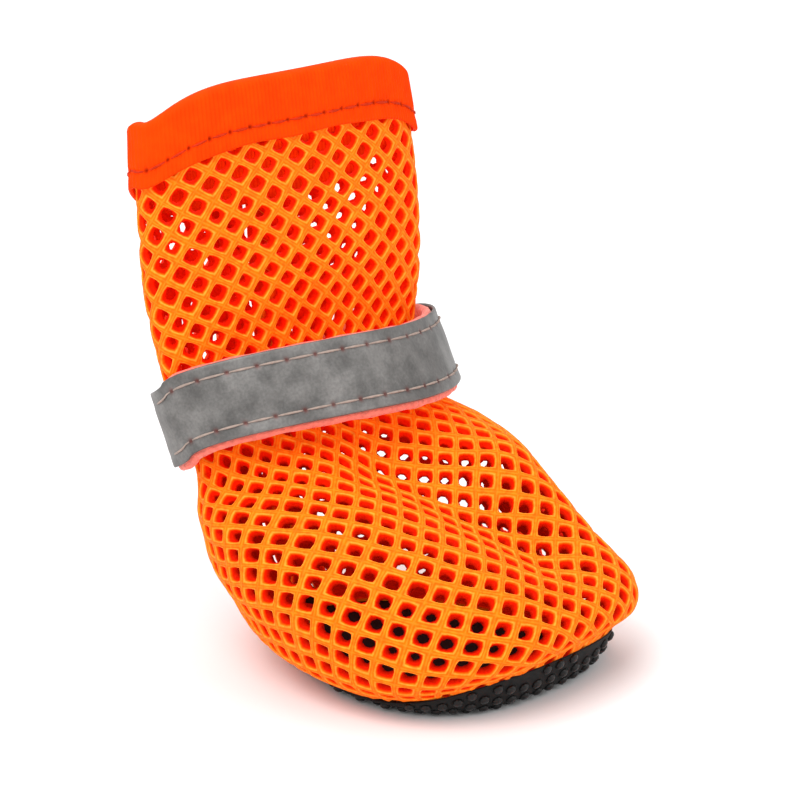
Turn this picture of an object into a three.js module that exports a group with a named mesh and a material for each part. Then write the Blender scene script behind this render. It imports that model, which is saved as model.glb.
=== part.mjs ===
// A slip-on dog boot: open mesh upper, bound collar, ankle strap with reflective tape, dotted sole.
// Millimetres, +Z up, toe towards -Y. "Forward" is measured from the heel of the last to the toe.
import * as THREE from "three";

// Driving dimensions.
const MESH_WALL = 1.2; // knitted mesh
const MESH_WALL_BOUND = 0.7; // the same mesh pressed flat under the collar binding
const GAP = 0.3; // between pieces that are sewn together
const BINDING_HEIGHT = 8.3; // folded collar tape, from its fold to its lower edge
const BINDING_THICKNESS = 0.6;
const BINDING_ROUND = 0.3; // rounding of its fold
const BINDING_GAP = 0.45; // wider than the seam's gap, because both faces are curved
const BACK_TAPE = { width: 6.0, thickness: 0.7, seam: 0.6, gap: 0.7 };
const SOLE = { thickness: 1.6, roll: 3.6, edge: 0.3 };
const STRAP = { height: 11.4, thickness: 1.2, halfWidth: 22.5, middle: 5.7, lean: 0.3, turn: 2.1 };
const STRAP_LAP = { start: 140, end: 570, rampFrom: 440, rampTo: 500, gap: 0.4 }; // degrees from the front
const TAPE = { height: 10.4, thickness: 0.5, raise: 0.3, reach: 108 };

// The strap's middle line is a loop |x|^roundness + |y|^roundness = 1. Its reach ahead of the loop's
// middle, its height and the slope of its width change from the sides to the front and the back, by
// |cos|^rise. Tilt raises its +X side. Sway raises its front quarter on +X and its back one on -X.
const STRAP_LOOP = { roundness: 1.78, rise: 0.73, tilt: -0.5, sway: -0.75 };
const STRAP_FORM = {
  front: { reach: 16.1, z: 39.15, slope: 26.8 },
  side: { z: 33.85, slope: 29.2 },
  back: { reach: -10.7, z: 30.1, slope: 18 },
};

// Facets round the upper, and rows of facets from its sole seam to its collar.
const AROUND = 40;
const ROWS = 26;
const STRAP_STEPS = 96;
const TAPE_STEPS = 40;
const SAMPLES = 720; // points that measure a section's length
const LOWEST = 0.006; // level of the upper's lower edge, just clear of the sole
const BOUND = { from: 0.89, over: 0.03 }; // levels where the mesh thins under the collar binding

// Small steps that measure a face's directions: in level and share, in level alone, in radians, in mm.
const FACE_STEP = 0.004;
const LEVEL_STEP = 0.01;
const ANGLE_STEP = 0.01;
const INSET_STEP = 0.05;

// Sections of the last's outer face, from the sole seam to the collar. Front, widest and back are
// forward distances, toe and heel are the squareness of the section's two halves, turn is in degrees,
// rise is how quickly the height leaves zSide towards zFront and zBack, and tilt raises the +X side.
const COLUMNS = [
  "front", "widest", "back", "half", "zFront", "zSide", "zBack", "toe", "heel", "turn", "lean",
  "rise", "tilt",
];
const SECTIONS = [
  [51.3, 32.0, 1.5, 20.4, 6.7, 2.2, 2.6, 2.7, 1.45, 0.0, 2.2, 2.8, 0.3],
  [54.3, 30.5, -0.1, 23.7, 9.3, 5.1, 6.6, 2.7, 1.8, 0.0, 1.4, 2.9, 0.3],
  [54.0, 29.0, -1.0, 24.8, 12.6, 9.4, 11.0, 2.6, 1.9, 0.0, 0.5, 3.0, 0.2],
  [50.3, 26.0, -1.5, 24.5, 16.2, 13.6, 14.8, 2.4, 2.0, -1.0, -1.1, 3.0, 0.0],
  [44.5, 23.0, -1.7, 24.4, 20.1, 17.6, 18.0, 2.3, 2.0, -3.0, -1.2, 3.0, 0.0],
  [38.0, 19.5, -1.8, 24.6, 23.6, 21.1, 20.5, 2.2, 2.0, -5.0, -0.4, 3.0, 0.0],
  [31.3, 15.5, -1.3, 24.3, 27.2, 24.1, 22.8, 2.1, 2.0, -6.0, 1.4, 3.0, 0.0],
  [23.8, 11.4, -0.9, 22.5, 30.6, 26.4, 25.4, 2.1, 2.1, -7.0, 2.0, 3.0, 0.0],
  [16.1, 8.4, -1.3, 20.2, 34.9, 30.2, 29.4, 2.1, 2.2, -8.0, 0.0, 3.0, 0.0],
  [11.6, 6.2, -2.1, 20.6, 42.6, 37.8, 35.8, 2.2, 2.2, -8.0, -1.2, 3.0, 0.0],
  [11.0, 4.8, -3.1, 22.1, 53.9, 49.3, 45.8, 2.3, 2.2, -9.0, -1.4, 3.5, 0.0],
  [10.1, 3.6, -3.8, 22.2, 65.8, 61.4, 56.4, 2.3, 2.2, -9.0, -1.4, 4.0, 0.0],
  [9.0, 2.5, -4.2, 21.2, 77.8, 72.8, 65.4, 2.3, 2.2, -9.0, -1.8, 4.0, 0.2],
];

// Dents and swellings of the slack mesh: a straight stroke between two points (across, forward, up)
// that moves the face in or out by depth, and fades over its reach.
const FOLDS = [
  { from: [-3, 26, 29], to: [6, 44, 20], depth: -3.2, reach: 6.5 }, // hollow down the middle of the vamp
  { from: [14, 31, 24], to: [16, 45, 16], depth: 1.6, reach: 6.5 }, // ridge on its outer side
  { from: [-15, 34, 17], to: [-8, 48, 13], depth: 1.2, reach: 8.0 }, // swelling on its inner side
  { from: [-14, 15, 36], to: [13, 14, 37], depth: -1.3, reach: 6.5 }, // hollow pressed by the strap
];

const radians = THREE.MathUtils.degToRad;
const clamp = THREE.MathUtils.clamp;
const lerp = THREE.MathUtils.lerp;

// One section's sizes at a level from 0 (sole seam) to 1 (collar), smooth through the table's rows.
function sectionAt(level) {
  const place = clamp(level, 0, 1) * (SECTIONS.length - 1);
  const row = Math.min(Math.floor(place), SECTIONS.length - 2);
  const part = place - row;
  const section = {};
  COLUMNS.forEach((name, column) => {
    const here = SECTIONS[row][column];
    const next = SECTIONS[row + 1][column];
    const before = row > 0 ? SECTIONS[row - 1][column] : 2 * here - next;
    const after = row + 2 < SECTIONS.length ? SECTIONS[row + 2][column] : 2 * next - here;
    const slope = next - before;
    const bend = 2 * before - 5 * here + 4 * next - after;
    const twist = 3 * here - before - 3 * next + after;
    section[name] = here + 0.5 * part * (slope + part * (bend + part * twist));
  });
  return section;
}

// A point of a section at an angle: 0 at the centre front, 180 degrees at the centre back.
function sectionPoint(section, angle, inset = 0) {
  const cosine = Math.cos(angle);
  const sine = Math.sin(angle);
  const square = 2 / (cosine > 0 ? section.toe : section.heel);
  const end = cosine > 0 ? section.front - inset : section.back + inset;
  const zEnd = cosine > 0 ? section.zFront : section.zBack;
  const across = (section.half - inset) * Math.sign(sine) * Math.abs(sine) ** square;
  const ahead = (end - section.widest) * Math.abs(cosine) ** square;
  const turn = radians(section.turn);
  const x = section.lean + across * Math.cos(turn) + ahead * Math.sin(turn);
  const y = -section.widest + across * Math.sin(turn) - ahead * Math.cos(turn);
  const rise = (zEnd - section.zSide) * (1 - Math.abs(sine) ** section.rise);
  const z = section.zSide + rise + section.tilt * sine;
  return new THREE.Vector3(x, y, z);
}

// Angles that share a section's length evenly on each side of the centre front.
function evenAngles(section, inset = 0) {
  const angles = [];
  for (const side of [1, -1]) {
    const reach = [0];
    let last = sectionPoint(section, 0, inset);
    for (let i = 1; i <= SAMPLES; i++) {
      const point = sectionPoint(section, (side * Math.PI * i) / SAMPLES, inset);
      reach.push(reach[i - 1] + point.distanceTo(last));
      last = point;
    }
    const half = [];
    let i = 0;
    for (let k = 0; k <= AROUND / 2; k++) {
      const wanted = (reach[SAMPLES] * 2 * k) / AROUND;
      while (i < SAMPLES && reach[i + 1] < wanted) {
        i++;
      }
      const share = i < SAMPLES ? (wanted - reach[i]) / (reach[i + 1] - reach[i]) : 0;
      half.push((side * Math.PI * (i + share)) / SAMPLES);
    }
    angles.push(half);
  }
  const otherSide = angles[1].slice(1, -1).reverse();
  return [...angles[0], ...otherSide.map((angle) => angle + 2 * Math.PI)];
}

// A point of the upper's outer face before its folds; share runs from 0 to 1 round the section.
const angleCache = new Map();
function lastPoint(share, level) {
  const key = Math.round(level * 1e6);
  if (!angleCache.has(key)) {
    angleCache.set(key, evenAngles(sectionAt(level)));
  }
  const angles = angleCache.get(key);
  const place = (((share % 1) + 1) % 1) * AROUND;
  const index = Math.floor(place);
  const next = index + 1 < AROUND ? angles[index + 1] : 2 * Math.PI;
  const angle = angles[index] + (next - angles[index]) * (place - index);
  return sectionPoint(sectionAt(level), angle);
}

// The outward normal of a face given as a function of (share, level).
function normalOf(face, share, level) {
  const along = face(share + FACE_STEP, level).sub(face(share - FACE_STEP, level));
  const low = face(share, Math.max(level - FACE_STEP, 0));
  const high = face(share, Math.min(level + FACE_STEP, 1));
  return along.cross(high.sub(low)).normalize();
}

// The upper's outer face: the last with its folds pressed in or drawn out along the normal.
function upperFace(share, level) {
  const point = lastPoint(share, level);
  const normal = normalOf(lastPoint, share, level);
  let push = 0;
  for (const fold of FOLDS) {
    const from = new THREE.Vector3(fold.from[0], -fold.from[1], fold.from[2]);
    const to = new THREE.Vector3(fold.to[0], -fold.to[1], fold.to[2]);
    const near = new THREE.Line3(from, to).closestPointToPoint(point, true, new THREE.Vector3());
    push += fold.depth * Math.exp(-((near.distanceTo(point) / fold.reach) ** 2));
  }
  return point.addScaledVector(normal, push);
}

// The upper's face moved out by a distance (in, when it is negative).
function offsetUpper(share, level, distance) {
  return upperFace(share, level).addScaledVector(normalOf(upperFace, share, level), distance);
}

// A mesh's geometry from its corners and its triangles.
function solid(positions, indices) {
  const geometry = new THREE.BufferGeometry();
  geometry.setAttribute("position", new THREE.Float32BufferAttribute(positions, 3));
  geometry.setIndex(indices);
  geometry.computeVertexNormals();
  return geometry;
}

// A closed solid from rings of points, each ring joined to the next one. The last ring is joined to
// the first one when the rings are closed, and otherwise both end rings are capped.
function loopSolid(rings, closed) {
  const count = rings.length;
  const size = rings[0].length;
  const positions = rings.flat().flatMap((point) => point.toArray());
  const indices = [];
  const spans = closed ? count : count - 1;
  for (let i = 0; i < spans; i++) {
    for (let j = 0; j < size; j++) {
      const a = i * size + j;
      const b = i * size + ((j + 1) % size);
      const c = ((i + 1) % count) * size + ((j + 1) % size);
      const d = ((i + 1) % count) * size + j;
      indices.push(a, b, c, a, c, d);
    }
  }
  if (!closed) {
    const end = (count - 1) * size;
    for (let j = 1; j < size - 1; j++) {
      indices.push(0, j + 1, j);
      indices.push(end, end + j, end + j + 1);
    }
  }
  return solid(positions, indices);
}

// Even steps from one number to another.
function range(count, from = 0, to = 1) {
  return Array.from({ length: count + 1 }, (_, i) => from + ((to - from) * i) / count);
}

const boot = new THREE.Group();

function addPiece(name, geometry, color, roughness) {
  const material = new THREE.MeshStandardMaterial({ color, roughness, metalness: 0 });
  const mesh = new THREE.Mesh(geometry, material);
  mesh.name = name;
  boot.add(mesh);
}

// The level that lies a length of mesh below the collar's edge, for one share of the way round.
function levelBelowCollar(share, drop) {
  let level = 1;
  let travelled = 0;
  while (level > LEVEL_STEP) {
    const piece = upperFace(share, level).distanceTo(upperFace(share, level - LEVEL_STEP));
    if (travelled + piece >= drop) {
      return level - (LEVEL_STEP * (drop - travelled)) / piece;
    }
    travelled += piece;
    level -= LEVEL_STEP;
  }
  return level;
}

// Upper: one hollow mesh wall, open at the collar and underneath.
function makeUpper() {
  const levels = range(ROWS, LOWEST, 1);
  const rings = [];
  for (let i = 0; i < AROUND; i++) {
    const share = i / AROUND;
    const outside = levels.map((level) => upperFace(share, level));
    const inside = levels.map((level) => {
      const bound = clamp((level - BOUND.from) / BOUND.over, 0, 1);
      return offsetUpper(share, level, -lerp(MESH_WALL, MESH_WALL_BOUND, bound));
    });
    rings.push([...outside.reverse(), ...inside]);
  }
  addPiece("upper", loopSolid(rings, true), 0xff7a14, 0.85);
}

// Collar binding: a tape folded over the collar's edge, with its two legs outside and inside.
function makeCollarBinding() {
  const outer = BINDING_GAP + BINDING_THICKNESS;
  const inner = -MESH_WALL_BOUND - BINDING_GAP;
  const innermost = inner - BINDING_THICKNESS;
  const top = BINDING_GAP + BINDING_THICKNESS;
  const rings = [];
  for (let i = 0; i < AROUND; i++) {
    const share = i / AROUND;
    const low = levelBelowCollar(share, BINDING_HEIGHT - top);
    const levels = range(3, low, 1);
    const leg = (distance) => levels.map((level) => offsetUpper(share, level, distance));
    const edge = upperFace(share, 1);
    const rise = edge.sub(upperFace(share, 1 - FACE_STEP)).normalize();
    const fold = (distance, height) => {
      return offsetUpper(share, 1, distance).addScaledVector(rise, height);
    };
    const section = [
      ...leg(outer),
      fold(outer - BINDING_ROUND / 2, top - BINDING_ROUND),
      fold(outer - BINDING_ROUND * 1.5, top),
      fold(innermost + BINDING_ROUND * 1.5, top),
      fold(innermost + BINDING_ROUND / 2, top - BINDING_ROUND),
      ...leg(innermost).reverse(),
      ...leg(inner),
      fold(inner, BINDING_GAP),
      fold(BINDING_GAP, BINDING_GAP),
      ...leg(BINDING_GAP).reverse(),
    ];
    rings.push(section.reverse());
  }
  addPiece("collar_binding", loopSolid(rings, true), 0xff4a00, 0.7);
}

// Back tapes: a flat tape on each side of the centre-back seam, from the sole to the binding.
function makeBackTape(name, side) {
  const middle = 0.5;
  const sharePerMillimetre = (level) => {
    const here = upperFace(middle, level);
    return LEVEL_STEP / here.distanceTo(upperFace(middle + side * LEVEL_STEP, level));
  };
  const near = BACK_TAPE.seam / 2;
  const top = levelBelowCollar(middle, BINDING_HEIGHT + GAP);
  const levels = range(ROWS, LOWEST, 1).filter((level) => level > LOWEST && level < top);
  const rings = [...levels, top].map((level) => {
    const scale = side * sharePerMillimetre(level);
    const shares = range(3, near, near + BACK_TAPE.width).map((distance) => middle + distance * scale);
    const layer = (distance) => shares.map((share) => offsetUpper(share, level, distance));
    const ring = [...layer(BACK_TAPE.gap), ...layer(BACK_TAPE.gap + BACK_TAPE.thickness).reverse()];
    return side < 0 ? ring : ring.reverse();
  });
  addPiece(name, loopSolid(rings, false), 0xff5a08, 0.75);
}

// A closed solid from rings that all start at one shared point and end at another.
function discSolid(rings) {
  const first = rings[0][0];
  const last = rings[0][rings[0].length - 1];
  const size = rings[0].length - 2;
  const count = rings.length;
  const positions = [...first.toArray(), ...last.toArray()];
  for (const ring of rings) {
    positions.push(...ring.slice(1, -1).flatMap((point) => point.toArray()));
  }
  const indices = [];
  for (let i = 0; i < count; i++) {
    const here = 2 + i * size;
    const next = 2 + ((i + 1) % count) * size;
    indices.push(0, here, next);
    indices.push(1, next + size - 1, here + size - 1);
    for (let j = 0; j < size - 1; j++) {
      indices.push(here + j, here + j + 1, next + j + 1, here + j, next + j + 1, next + j);
    }
  }
  return solid(positions, indices);
}

// Sole: a thin sheet with a flat tread, rolled up all round to meet the upper's edge.
function makeOutsole() {
  const seam = sectionAt(0);
  const under = (inset, angle) => {
    const point = sectionPoint(seam, angle, inset);
    point.z *= Math.max(1 - inset / SOLE.roll, 0) ** 2;
    return point;
  };
  const over = (inset, angle) => {
    const along = under(inset, angle + ANGLE_STEP).sub(under(inset, angle - ANGLE_STEP));
    const outward = under(inset, angle).sub(under(inset + INSET_STEP, angle));
    const normal = along.cross(outward).normalize();
    return under(inset, angle).addScaledVector(normal, -SOLE.thickness);
  };
  const insets = [SOLE.edge, 1.2, 2.4, SOLE.roll]; // rings of the rolled rim, closer near its edge
  const centre = new THREE.Vector3(seam.lean, -(seam.front + seam.back) / 2, 0);
  const rings = evenAngles(seam).map((angle) => {
    const bottom = insets.map((inset) => under(inset, angle));
    const top = insets.map((inset) => over(inset, angle)).reverse();
    return [centre.clone().setZ(SOLE.thickness), ...top, ...bottom, centre];
  });
  addPiece("outsole", discSolid(rings), 0x1a1a1c, 0.6);
}

// The strap's middle line at an angle from the front.
function strapLine(angle) {
  const cosine = Math.cos(angle);
  const sine = Math.sin(angle);
  const side = STRAP_FORM.side;
  const end = cosine > 0 ? STRAP_FORM.front : STRAP_FORM.back;
  const power = 2 / STRAP_LOOP.roundness;
  const share = Math.abs(cosine) ** STRAP_LOOP.rise;
  const swing = STRAP_LOOP.tilt * sine + STRAP_LOOP.sway * Math.sin(2 * angle);
  return {
    across: STRAP.halfWidth * Math.sign(sine) * Math.abs(sine) ** power,
    ahead: end.reach * Math.abs(cosine) ** power,
    z: lerp(side.z, end.z, share) + swing,
    slope: radians(lerp(side.slope, end.slope, share)),
  };
}

// A point of the strap at an angle in degrees, a height from its middle line and a distance out.
function strapPoint(degrees, height, out) {
  const angle = radians(degrees);
  const here = strapLine(angle);
  const before = strapLine(angle - ANGLE_STEP);
  const after = strapLine(angle + ANGLE_STEP);
  const along = new THREE.Vector3(
    after.across - before.across,
    before.ahead - after.ahead,
    after.z - before.z,
  );
  const upward = new THREE.Vector3(0, Math.sin(here.slope), Math.cos(here.slope));
  const outward = along.cross(upward).normalize();
  const ramp = STRAP_LAP.rampTo - STRAP_LAP.rampFrom;
  const lap = clamp((degrees - STRAP_LAP.rampFrom) / ramp, 0, 1);
  const distance = out + lap * (STRAP.thickness + STRAP_LAP.gap);
  return new THREE.Vector3(here.across, -here.ahead, here.z)
    .addScaledVector(upward, height)
    .addScaledVector(outward, distance)
    .applyAxisAngle(new THREE.Vector3(0, 0, 1), radians(STRAP.turn))
    .add(new THREE.Vector3(STRAP.lean, -STRAP.middle, 0));
}

// A flat band that follows the strap: its four corners at each angle.
function strapBand(degrees, low, high, inner, outer) {
  const rings = degrees.map((angle) => [
    strapPoint(angle, low, inner),
    strapPoint(angle, high, inner),
    strapPoint(angle, high, outer),
    strapPoint(angle, low, outer),
  ]);
  return loopSolid(rings, false);
}

// Ankle strap: an open ring that laps over its own start behind the ankle.
function makeStrap() {
  const degrees = range(STRAP_STEPS, STRAP_LAP.start, STRAP_LAP.end);
  const band = strapBand(degrees, -STRAP.height / 2, STRAP.height / 2, 0, STRAP.thickness);
  addPiece("strap", band, 0xff8080, 0.9);
}

// Reflective tape: sewn round the front of the strap.
function makeReflectiveTape() {
  const degrees = range(TAPE_STEPS, 360 - TAPE.reach, 360 + TAPE.reach);
  const low = TAPE.raise - TAPE.height / 2;
  const inner = STRAP.thickness + GAP;
  const band = strapBand(degrees, low, low + TAPE.height, inner, inner + TAPE.thickness);
  addPiece("reflective_tape", band, 0x7d7f80, 0.45);
}

makeOutsole();
makeUpper();
makeCollarBinding();
makeBackTape("back_tape_left", -1);
makeBackTape("back_tape_right", 1);
makeStrap();
makeReflectiveTape();

// The boot stands on the floor, with the origin at the middle of its outline.
const bounds = new THREE.Box3().setFromObject(boot);
const middle = bounds.getCenter(new THREE.Vector3());
boot.position.set(-middle.x, -middle.y, -bounds.min.z);

export default boot;
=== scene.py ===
"""Looks of a slip-on dog boot: open mesh upper, bound collar, ankle strap with reflective tape, and a
dotted sole."""

import math

import bpy
import numpy as np
from bpy.props import FloatProperty, FloatVectorProperty, PointerProperty
from bpy.types import Operator, Panel, PropertyGroup
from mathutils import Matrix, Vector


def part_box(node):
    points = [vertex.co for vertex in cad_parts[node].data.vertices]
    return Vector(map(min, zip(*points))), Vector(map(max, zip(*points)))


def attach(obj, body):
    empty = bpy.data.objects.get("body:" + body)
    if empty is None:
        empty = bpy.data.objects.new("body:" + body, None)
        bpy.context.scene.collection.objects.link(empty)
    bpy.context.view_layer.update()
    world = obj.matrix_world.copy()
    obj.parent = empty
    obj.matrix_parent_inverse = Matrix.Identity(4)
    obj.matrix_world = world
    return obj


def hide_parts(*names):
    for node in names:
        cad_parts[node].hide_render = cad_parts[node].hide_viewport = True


bl_info = {
    "name": "Mesh Dog Boot",
    "version": (1, 0, 0),
    "blender": (4, 5, 0),
    "location": "3D View > Sidebar > Dog Boot",
    "description": "Builds the net, tapes, strap and dotted sole of a dog boot around its frame",
    "category": "Add Mesh",
}

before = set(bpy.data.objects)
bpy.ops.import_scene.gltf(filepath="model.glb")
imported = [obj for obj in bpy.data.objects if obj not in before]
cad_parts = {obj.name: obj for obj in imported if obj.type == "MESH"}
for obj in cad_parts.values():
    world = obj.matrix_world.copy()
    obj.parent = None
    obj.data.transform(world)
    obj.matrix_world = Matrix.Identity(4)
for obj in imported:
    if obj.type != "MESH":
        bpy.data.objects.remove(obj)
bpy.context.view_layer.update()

MM = 0.001  # metres in a millimetre; shapes are worked out in millimetres

# --- The last, in its own frame: millimetres, across x, forward -y from the heel, up z ---

# Sections of the last's outer face, from the sole seam to the collar. Front, widest and back are forward
# distances, toe and heel are the squareness of the section's two halves, turn is in degrees, rise is how
# quickly the height leaves z_side towards z_front and z_back, and tilt raises the +x side.
SECTION_COLUMNS = (
    "front", "widest", "back", "half", "z_front", "z_side", "z_back", "toe", "heel", "turn", "lean",
    "rise", "tilt",
)
SECTIONS = np.array([
    (51.3, 32, 1.5, 20.4, 6.7, 2.2, 2.6, 2.7, 1.45, 0, 2.2, 2.8, 0.3),
    (54.3, 30.5, -0.1, 23.7, 9.3, 5.1, 6.6, 2.7, 1.8, 0, 1.4, 2.9, 0.3),
    (54, 29, -1, 24.8, 12.6, 9.4, 11, 2.6, 1.9, 0, 0.5, 3, 0.2),
    (50.3, 26, -1.5, 24.5, 16.2, 13.6, 14.8, 2.4, 2, -1, -1.1, 3, 0),
    (44.5, 23, -1.7, 24.4, 20.1, 17.6, 18, 2.3, 2, -3, -1.2, 3, 0),
    (38, 19.5, -1.8, 24.6, 23.6, 21.1, 20.5, 2.2, 2, -5, -0.4, 3, 0),
    (31.3, 15.5, -1.3, 24.3, 27.2, 24.1, 22.8, 2.1, 2, -6, 1.4, 3, 0),
    (23.8, 11.4, -0.9, 22.5, 30.6, 26.4, 25.4, 2.1, 2.1, -7, 2, 3, 0),
    (16.1, 8.4, -1.3, 20.2, 34.9, 30.2, 29.4, 2.1, 2.2, -8, 0, 3, 0),
    (11.6, 6.2, -2.1, 20.6, 42.6, 37.8, 35.8, 2.2, 2.2, -8, -1.2, 3, 0),
    (11, 4.8, -3.1, 22.1, 53.9, 49.3, 45.8, 2.3, 2.2, -9, -1.4, 3.5, 0),
    (10.1, 3.6, -3.8, 22.2, 65.8, 61.4, 56.4, 2.3, 2.2, -9, -1.4, 4, 0),
    (9, 2.5, -4.2, 21.2, 77.8, 72.8, 65.4, 2.3, 2.2, -9, -1.8, 4, 0.2),
])

# Creases and swellings of the slack fabric: a stroke between two points (across, forward, up) that
# moves the face out along its normal by a depth, and fades over its reach.
FOLDS = (
    ((-3, 26, 29), (6, 44, 20), -3.2, 6.5),  # hollow down the middle of the vamp
    ((14, 31, 24), (16, 45, 16), 1.6, 6.5),  # ridge on its outer side
    ((-15, 34, 17), (-8, 48, 13), 1.2, 8.0),  # swelling on its inner side
    ((-14, 15, 36), (13, 14, 37), -1.3, 6.5),  # hollow that the strap presses into the ankle
)

FACE_LEVELS = 240
FACE_SHARES = 480
MEASURES = 720  # points that measure half a section's length

# The sole's sheet, which the net's turned-in edge lies on.
SOLE_EDGE = 0.3  # how far its rim lies inside the seam
SOLE_ROLL = 3.6  # width of the rim that is rolled up
SOLE_DROP = 0.35  # from the seam to the under face's edge
SOLE_SHEET = 1.0  # thickness
SOLE_EDGE_THICKNESS = 0.2
SOLE_THICKENING = 1.2  # from the edge to the full thickness
DOT_HEIGHT = 0.55


def catmull_rom(table, place):
    """Values at fractional rows of a table, on a Catmull-Rom curve that goes straight on past its ends."""
    row = np.minimum(place.astype(int), len(table) - 2)
    part = (place - row).reshape(-1, *([1] * (table.ndim - 1)))
    padded = np.concatenate([2 * table[:1] - table[1:2], table, 2 * table[-1:] - table[-2:-1]])
    before, here, after, later = (padded[row + step] for step in range(4))
    bend = 2 * before - 5 * here + 4 * after - later
    twist = 3 * here - before - 3 * after + later
    return here + 0.5 * part * (after - before + part * (bend + part * twist))


def run_lengths(points, axis=0):
    """Lengths along one axis of a (..., 3) grid of points, from the first point to each."""
    steps = np.linalg.norm(np.diff(points, axis=axis), axis=-1)
    start = np.zeros_like(steps.take([0], axis=axis))
    return np.concatenate([start, np.cumsum(steps, axis=axis)], axis=axis)


def sections_at(level):
    """The last's sizes at levels 0 (sole seam) to 1 (collar), one value per level, from the table's curve."""
    values = catmull_rom(SECTIONS, np.clip(level, 0, 1) * (len(SECTIONS) - 1))
    return {name: values[..., i] for i, name in enumerate(SECTION_COLUMNS)}


def seam_section():
    """The last's sizes at the sole seam."""
    return dict(zip(SECTION_COLUMNS, SECTIONS[0]))


def section_point(section, angle, inset=0.0):
    """Points of a section at angles from its centre front: a superellipse half in front of its widest line
    and half behind it, turned about the upright. Its height goes from that of its sides to that of its
    ends by 1 - |sin|^rise, and a tilt times the sine raises one side."""
    cosine, sine = np.cos(angle), np.sin(angle)
    ahead_half = cosine > 0
    square = 2 / np.where(ahead_half, section["toe"], section["heel"])
    end = np.where(ahead_half, section["front"] - inset, section["back"] + inset)
    z_end = np.where(ahead_half, section["z_front"], section["z_back"])
    across = (section["half"] - inset) * np.sign(sine) * np.abs(sine) ** square
    ahead = (end - section["widest"]) * np.abs(cosine) ** square
    turn = np.radians(section["turn"])
    x = section["lean"] + across * np.cos(turn) + ahead * np.sin(turn)
    y = -section["widest"] + across * np.sin(turn) - ahead * np.cos(turn)
    z = section["z_side"] + (z_end - section["z_side"]) * (1 - np.abs(sine) ** section["rise"])
    z = z + section["tilt"] * sine
    return np.stack(np.broadcast_arrays(x, y, z), axis=-1)


def even_angles(level, count, inset=0.0):
    """Angles, one row per level, that share each side of every section evenly by its length."""
    sections = {name: column[:, None] for name, column in sections_at(level).items()}
    halves = []
    for side in (1, -1):
        angle = side * np.linspace(0, math.pi, MEASURES + 1)
        reach = run_lengths(section_point(sections, angle[None], inset), axis=1)
        wanted = np.linspace(0, 1, count // 2 + 1)
        halves.append(np.array([np.interp(wanted * row[-1], row, np.abs(angle)) for row in reach]))
    back_round = 2 * math.pi - halves[1][:, 1:-1][:, ::-1]
    return np.concatenate([halves[0], back_round], axis=1)


def grid_normals(points, wrap):
    """Unit outward normals of a (levels, shares, 3) grid: the way round crossed with the way up."""
    if wrap:
        along = np.roll(points, -1, axis=1) - np.roll(points, 1, axis=1)
    else:
        along = np.gradient(points, axis=1)
    normal = np.cross(along, np.gradient(points, axis=0))
    return normal / np.linalg.norm(normal, axis=2, keepdims=True)


def stroke_distance(points, start, end):
    """Distance from points to the straight stroke between start and end."""
    line = end - start
    share = np.clip(((points - start) @ line) / (line @ line), 0, 1)
    return np.linalg.norm(points - start - share[..., None] * line, axis=-1)


def press_folds(points, normals, folds):
    """Points moved along their normals by each fold's depth times exp(-(distance / reach)^2)."""
    push = np.zeros(points.shape[:-1])
    for start, end, depth, reach in folds:
        flip = np.array([1, -1, 1])
        distance = stroke_distance(points, np.array(start) * flip, np.array(end) * flip)
        push += depth * np.exp(-((distance / reach) ** 2))
    return points + normals * push[..., None]


def bilinear(grid, low, left, right, up, across):
    """Values between four neighbours of a (rows, columns, n) grid, at shares of the way up and across."""
    across, up = across[..., None], up[..., None]
    lower = grid[low, left] * (1 - across) + grid[low, right] * across
    upper = grid[low + 1, left] * (1 - across) + grid[low + 1, right] * across
    return lower * (1 - up) + upper * up


def sample(grid, share, level):
    """Bilinear reading of a (levels, shares, n) grid that wraps round in share, with level 0 to 1."""
    rows, columns = grid.shape[0] - 1, grid.shape[1]
    place = np.mod(share, 1.0) * columns
    height = np.clip(level, 0, 1) * rows
    left = np.minimum(place.astype(int), columns - 1)
    low = np.minimum(height.astype(int), rows - 1)
    return bilinear(grid, low, left, (left + 1) % columns, height - low, place - left)


def make_face():
    """The upper's outer face and its normals on a fine (level, share) grid: the sections, then the folds."""
    level = np.linspace(0, 1, FACE_LEVELS + 1)
    sections = {name: column[:, None] for name, column in sections_at(level).items()}
    bare = section_point(sections, even_angles(level, FACE_SHARES))
    face = press_folds(bare, grid_normals(bare, True), FOLDS)
    return face, grid_normals(face, True)


FACE, FACE_NORMALS = make_face()


def frame_shift():
    """The move from the last's own frame to the part's, from the sole's box."""
    low, high = (np.array(corner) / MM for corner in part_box("outsole"))
    outline = section_point(seam_section(), np.linspace(0, 2 * math.pi, MEASURES), SOLE_EDGE)
    middle = (outline.min(0) + outline.max(0)) / 2
    return np.array([*((low + high)[:2] / 2 - middle[:2]), low[2]])


SHIFT = frame_shift()


def upper_point(share, level, out=0.0):
    """A point a distance out from the upper's outer face."""
    out = np.asarray(out, float)[..., None]
    return sample(FACE, share, level) + sample(FACE_NORMALS, share, level) * out


# --- Properties ---


def paint(name, description, default):
    """A colour property."""
    return FloatVectorProperty(
        name=name, description=description, subtype="COLOR", size=3, default=default, min=0, max=1
    )


def measure(name, description, default, low, high):
    """A size property in millimetres."""
    return FloatProperty(name=name, description=description, default=default, min=low, max=high)


# --- Meshes ---


def grid_quads(rows, columns, wrap_rows=False, wrap_columns=False):
    """Corner numbers of the quads of a grid of points stored row by row."""
    i, j = np.meshgrid(
        np.arange(rows if wrap_rows else rows - 1),
        np.arange(columns if wrap_columns else columns - 1),
        indexing="ij",
    )
    i, j = i.ravel(), j.ravel()
    i_next, j_next = (i + 1) % rows, (j + 1) % columns
    here, above = i * columns, i_next * columns
    return np.stack([here + j, here + j_next, above + j_next, above + j], axis=1)


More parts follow.
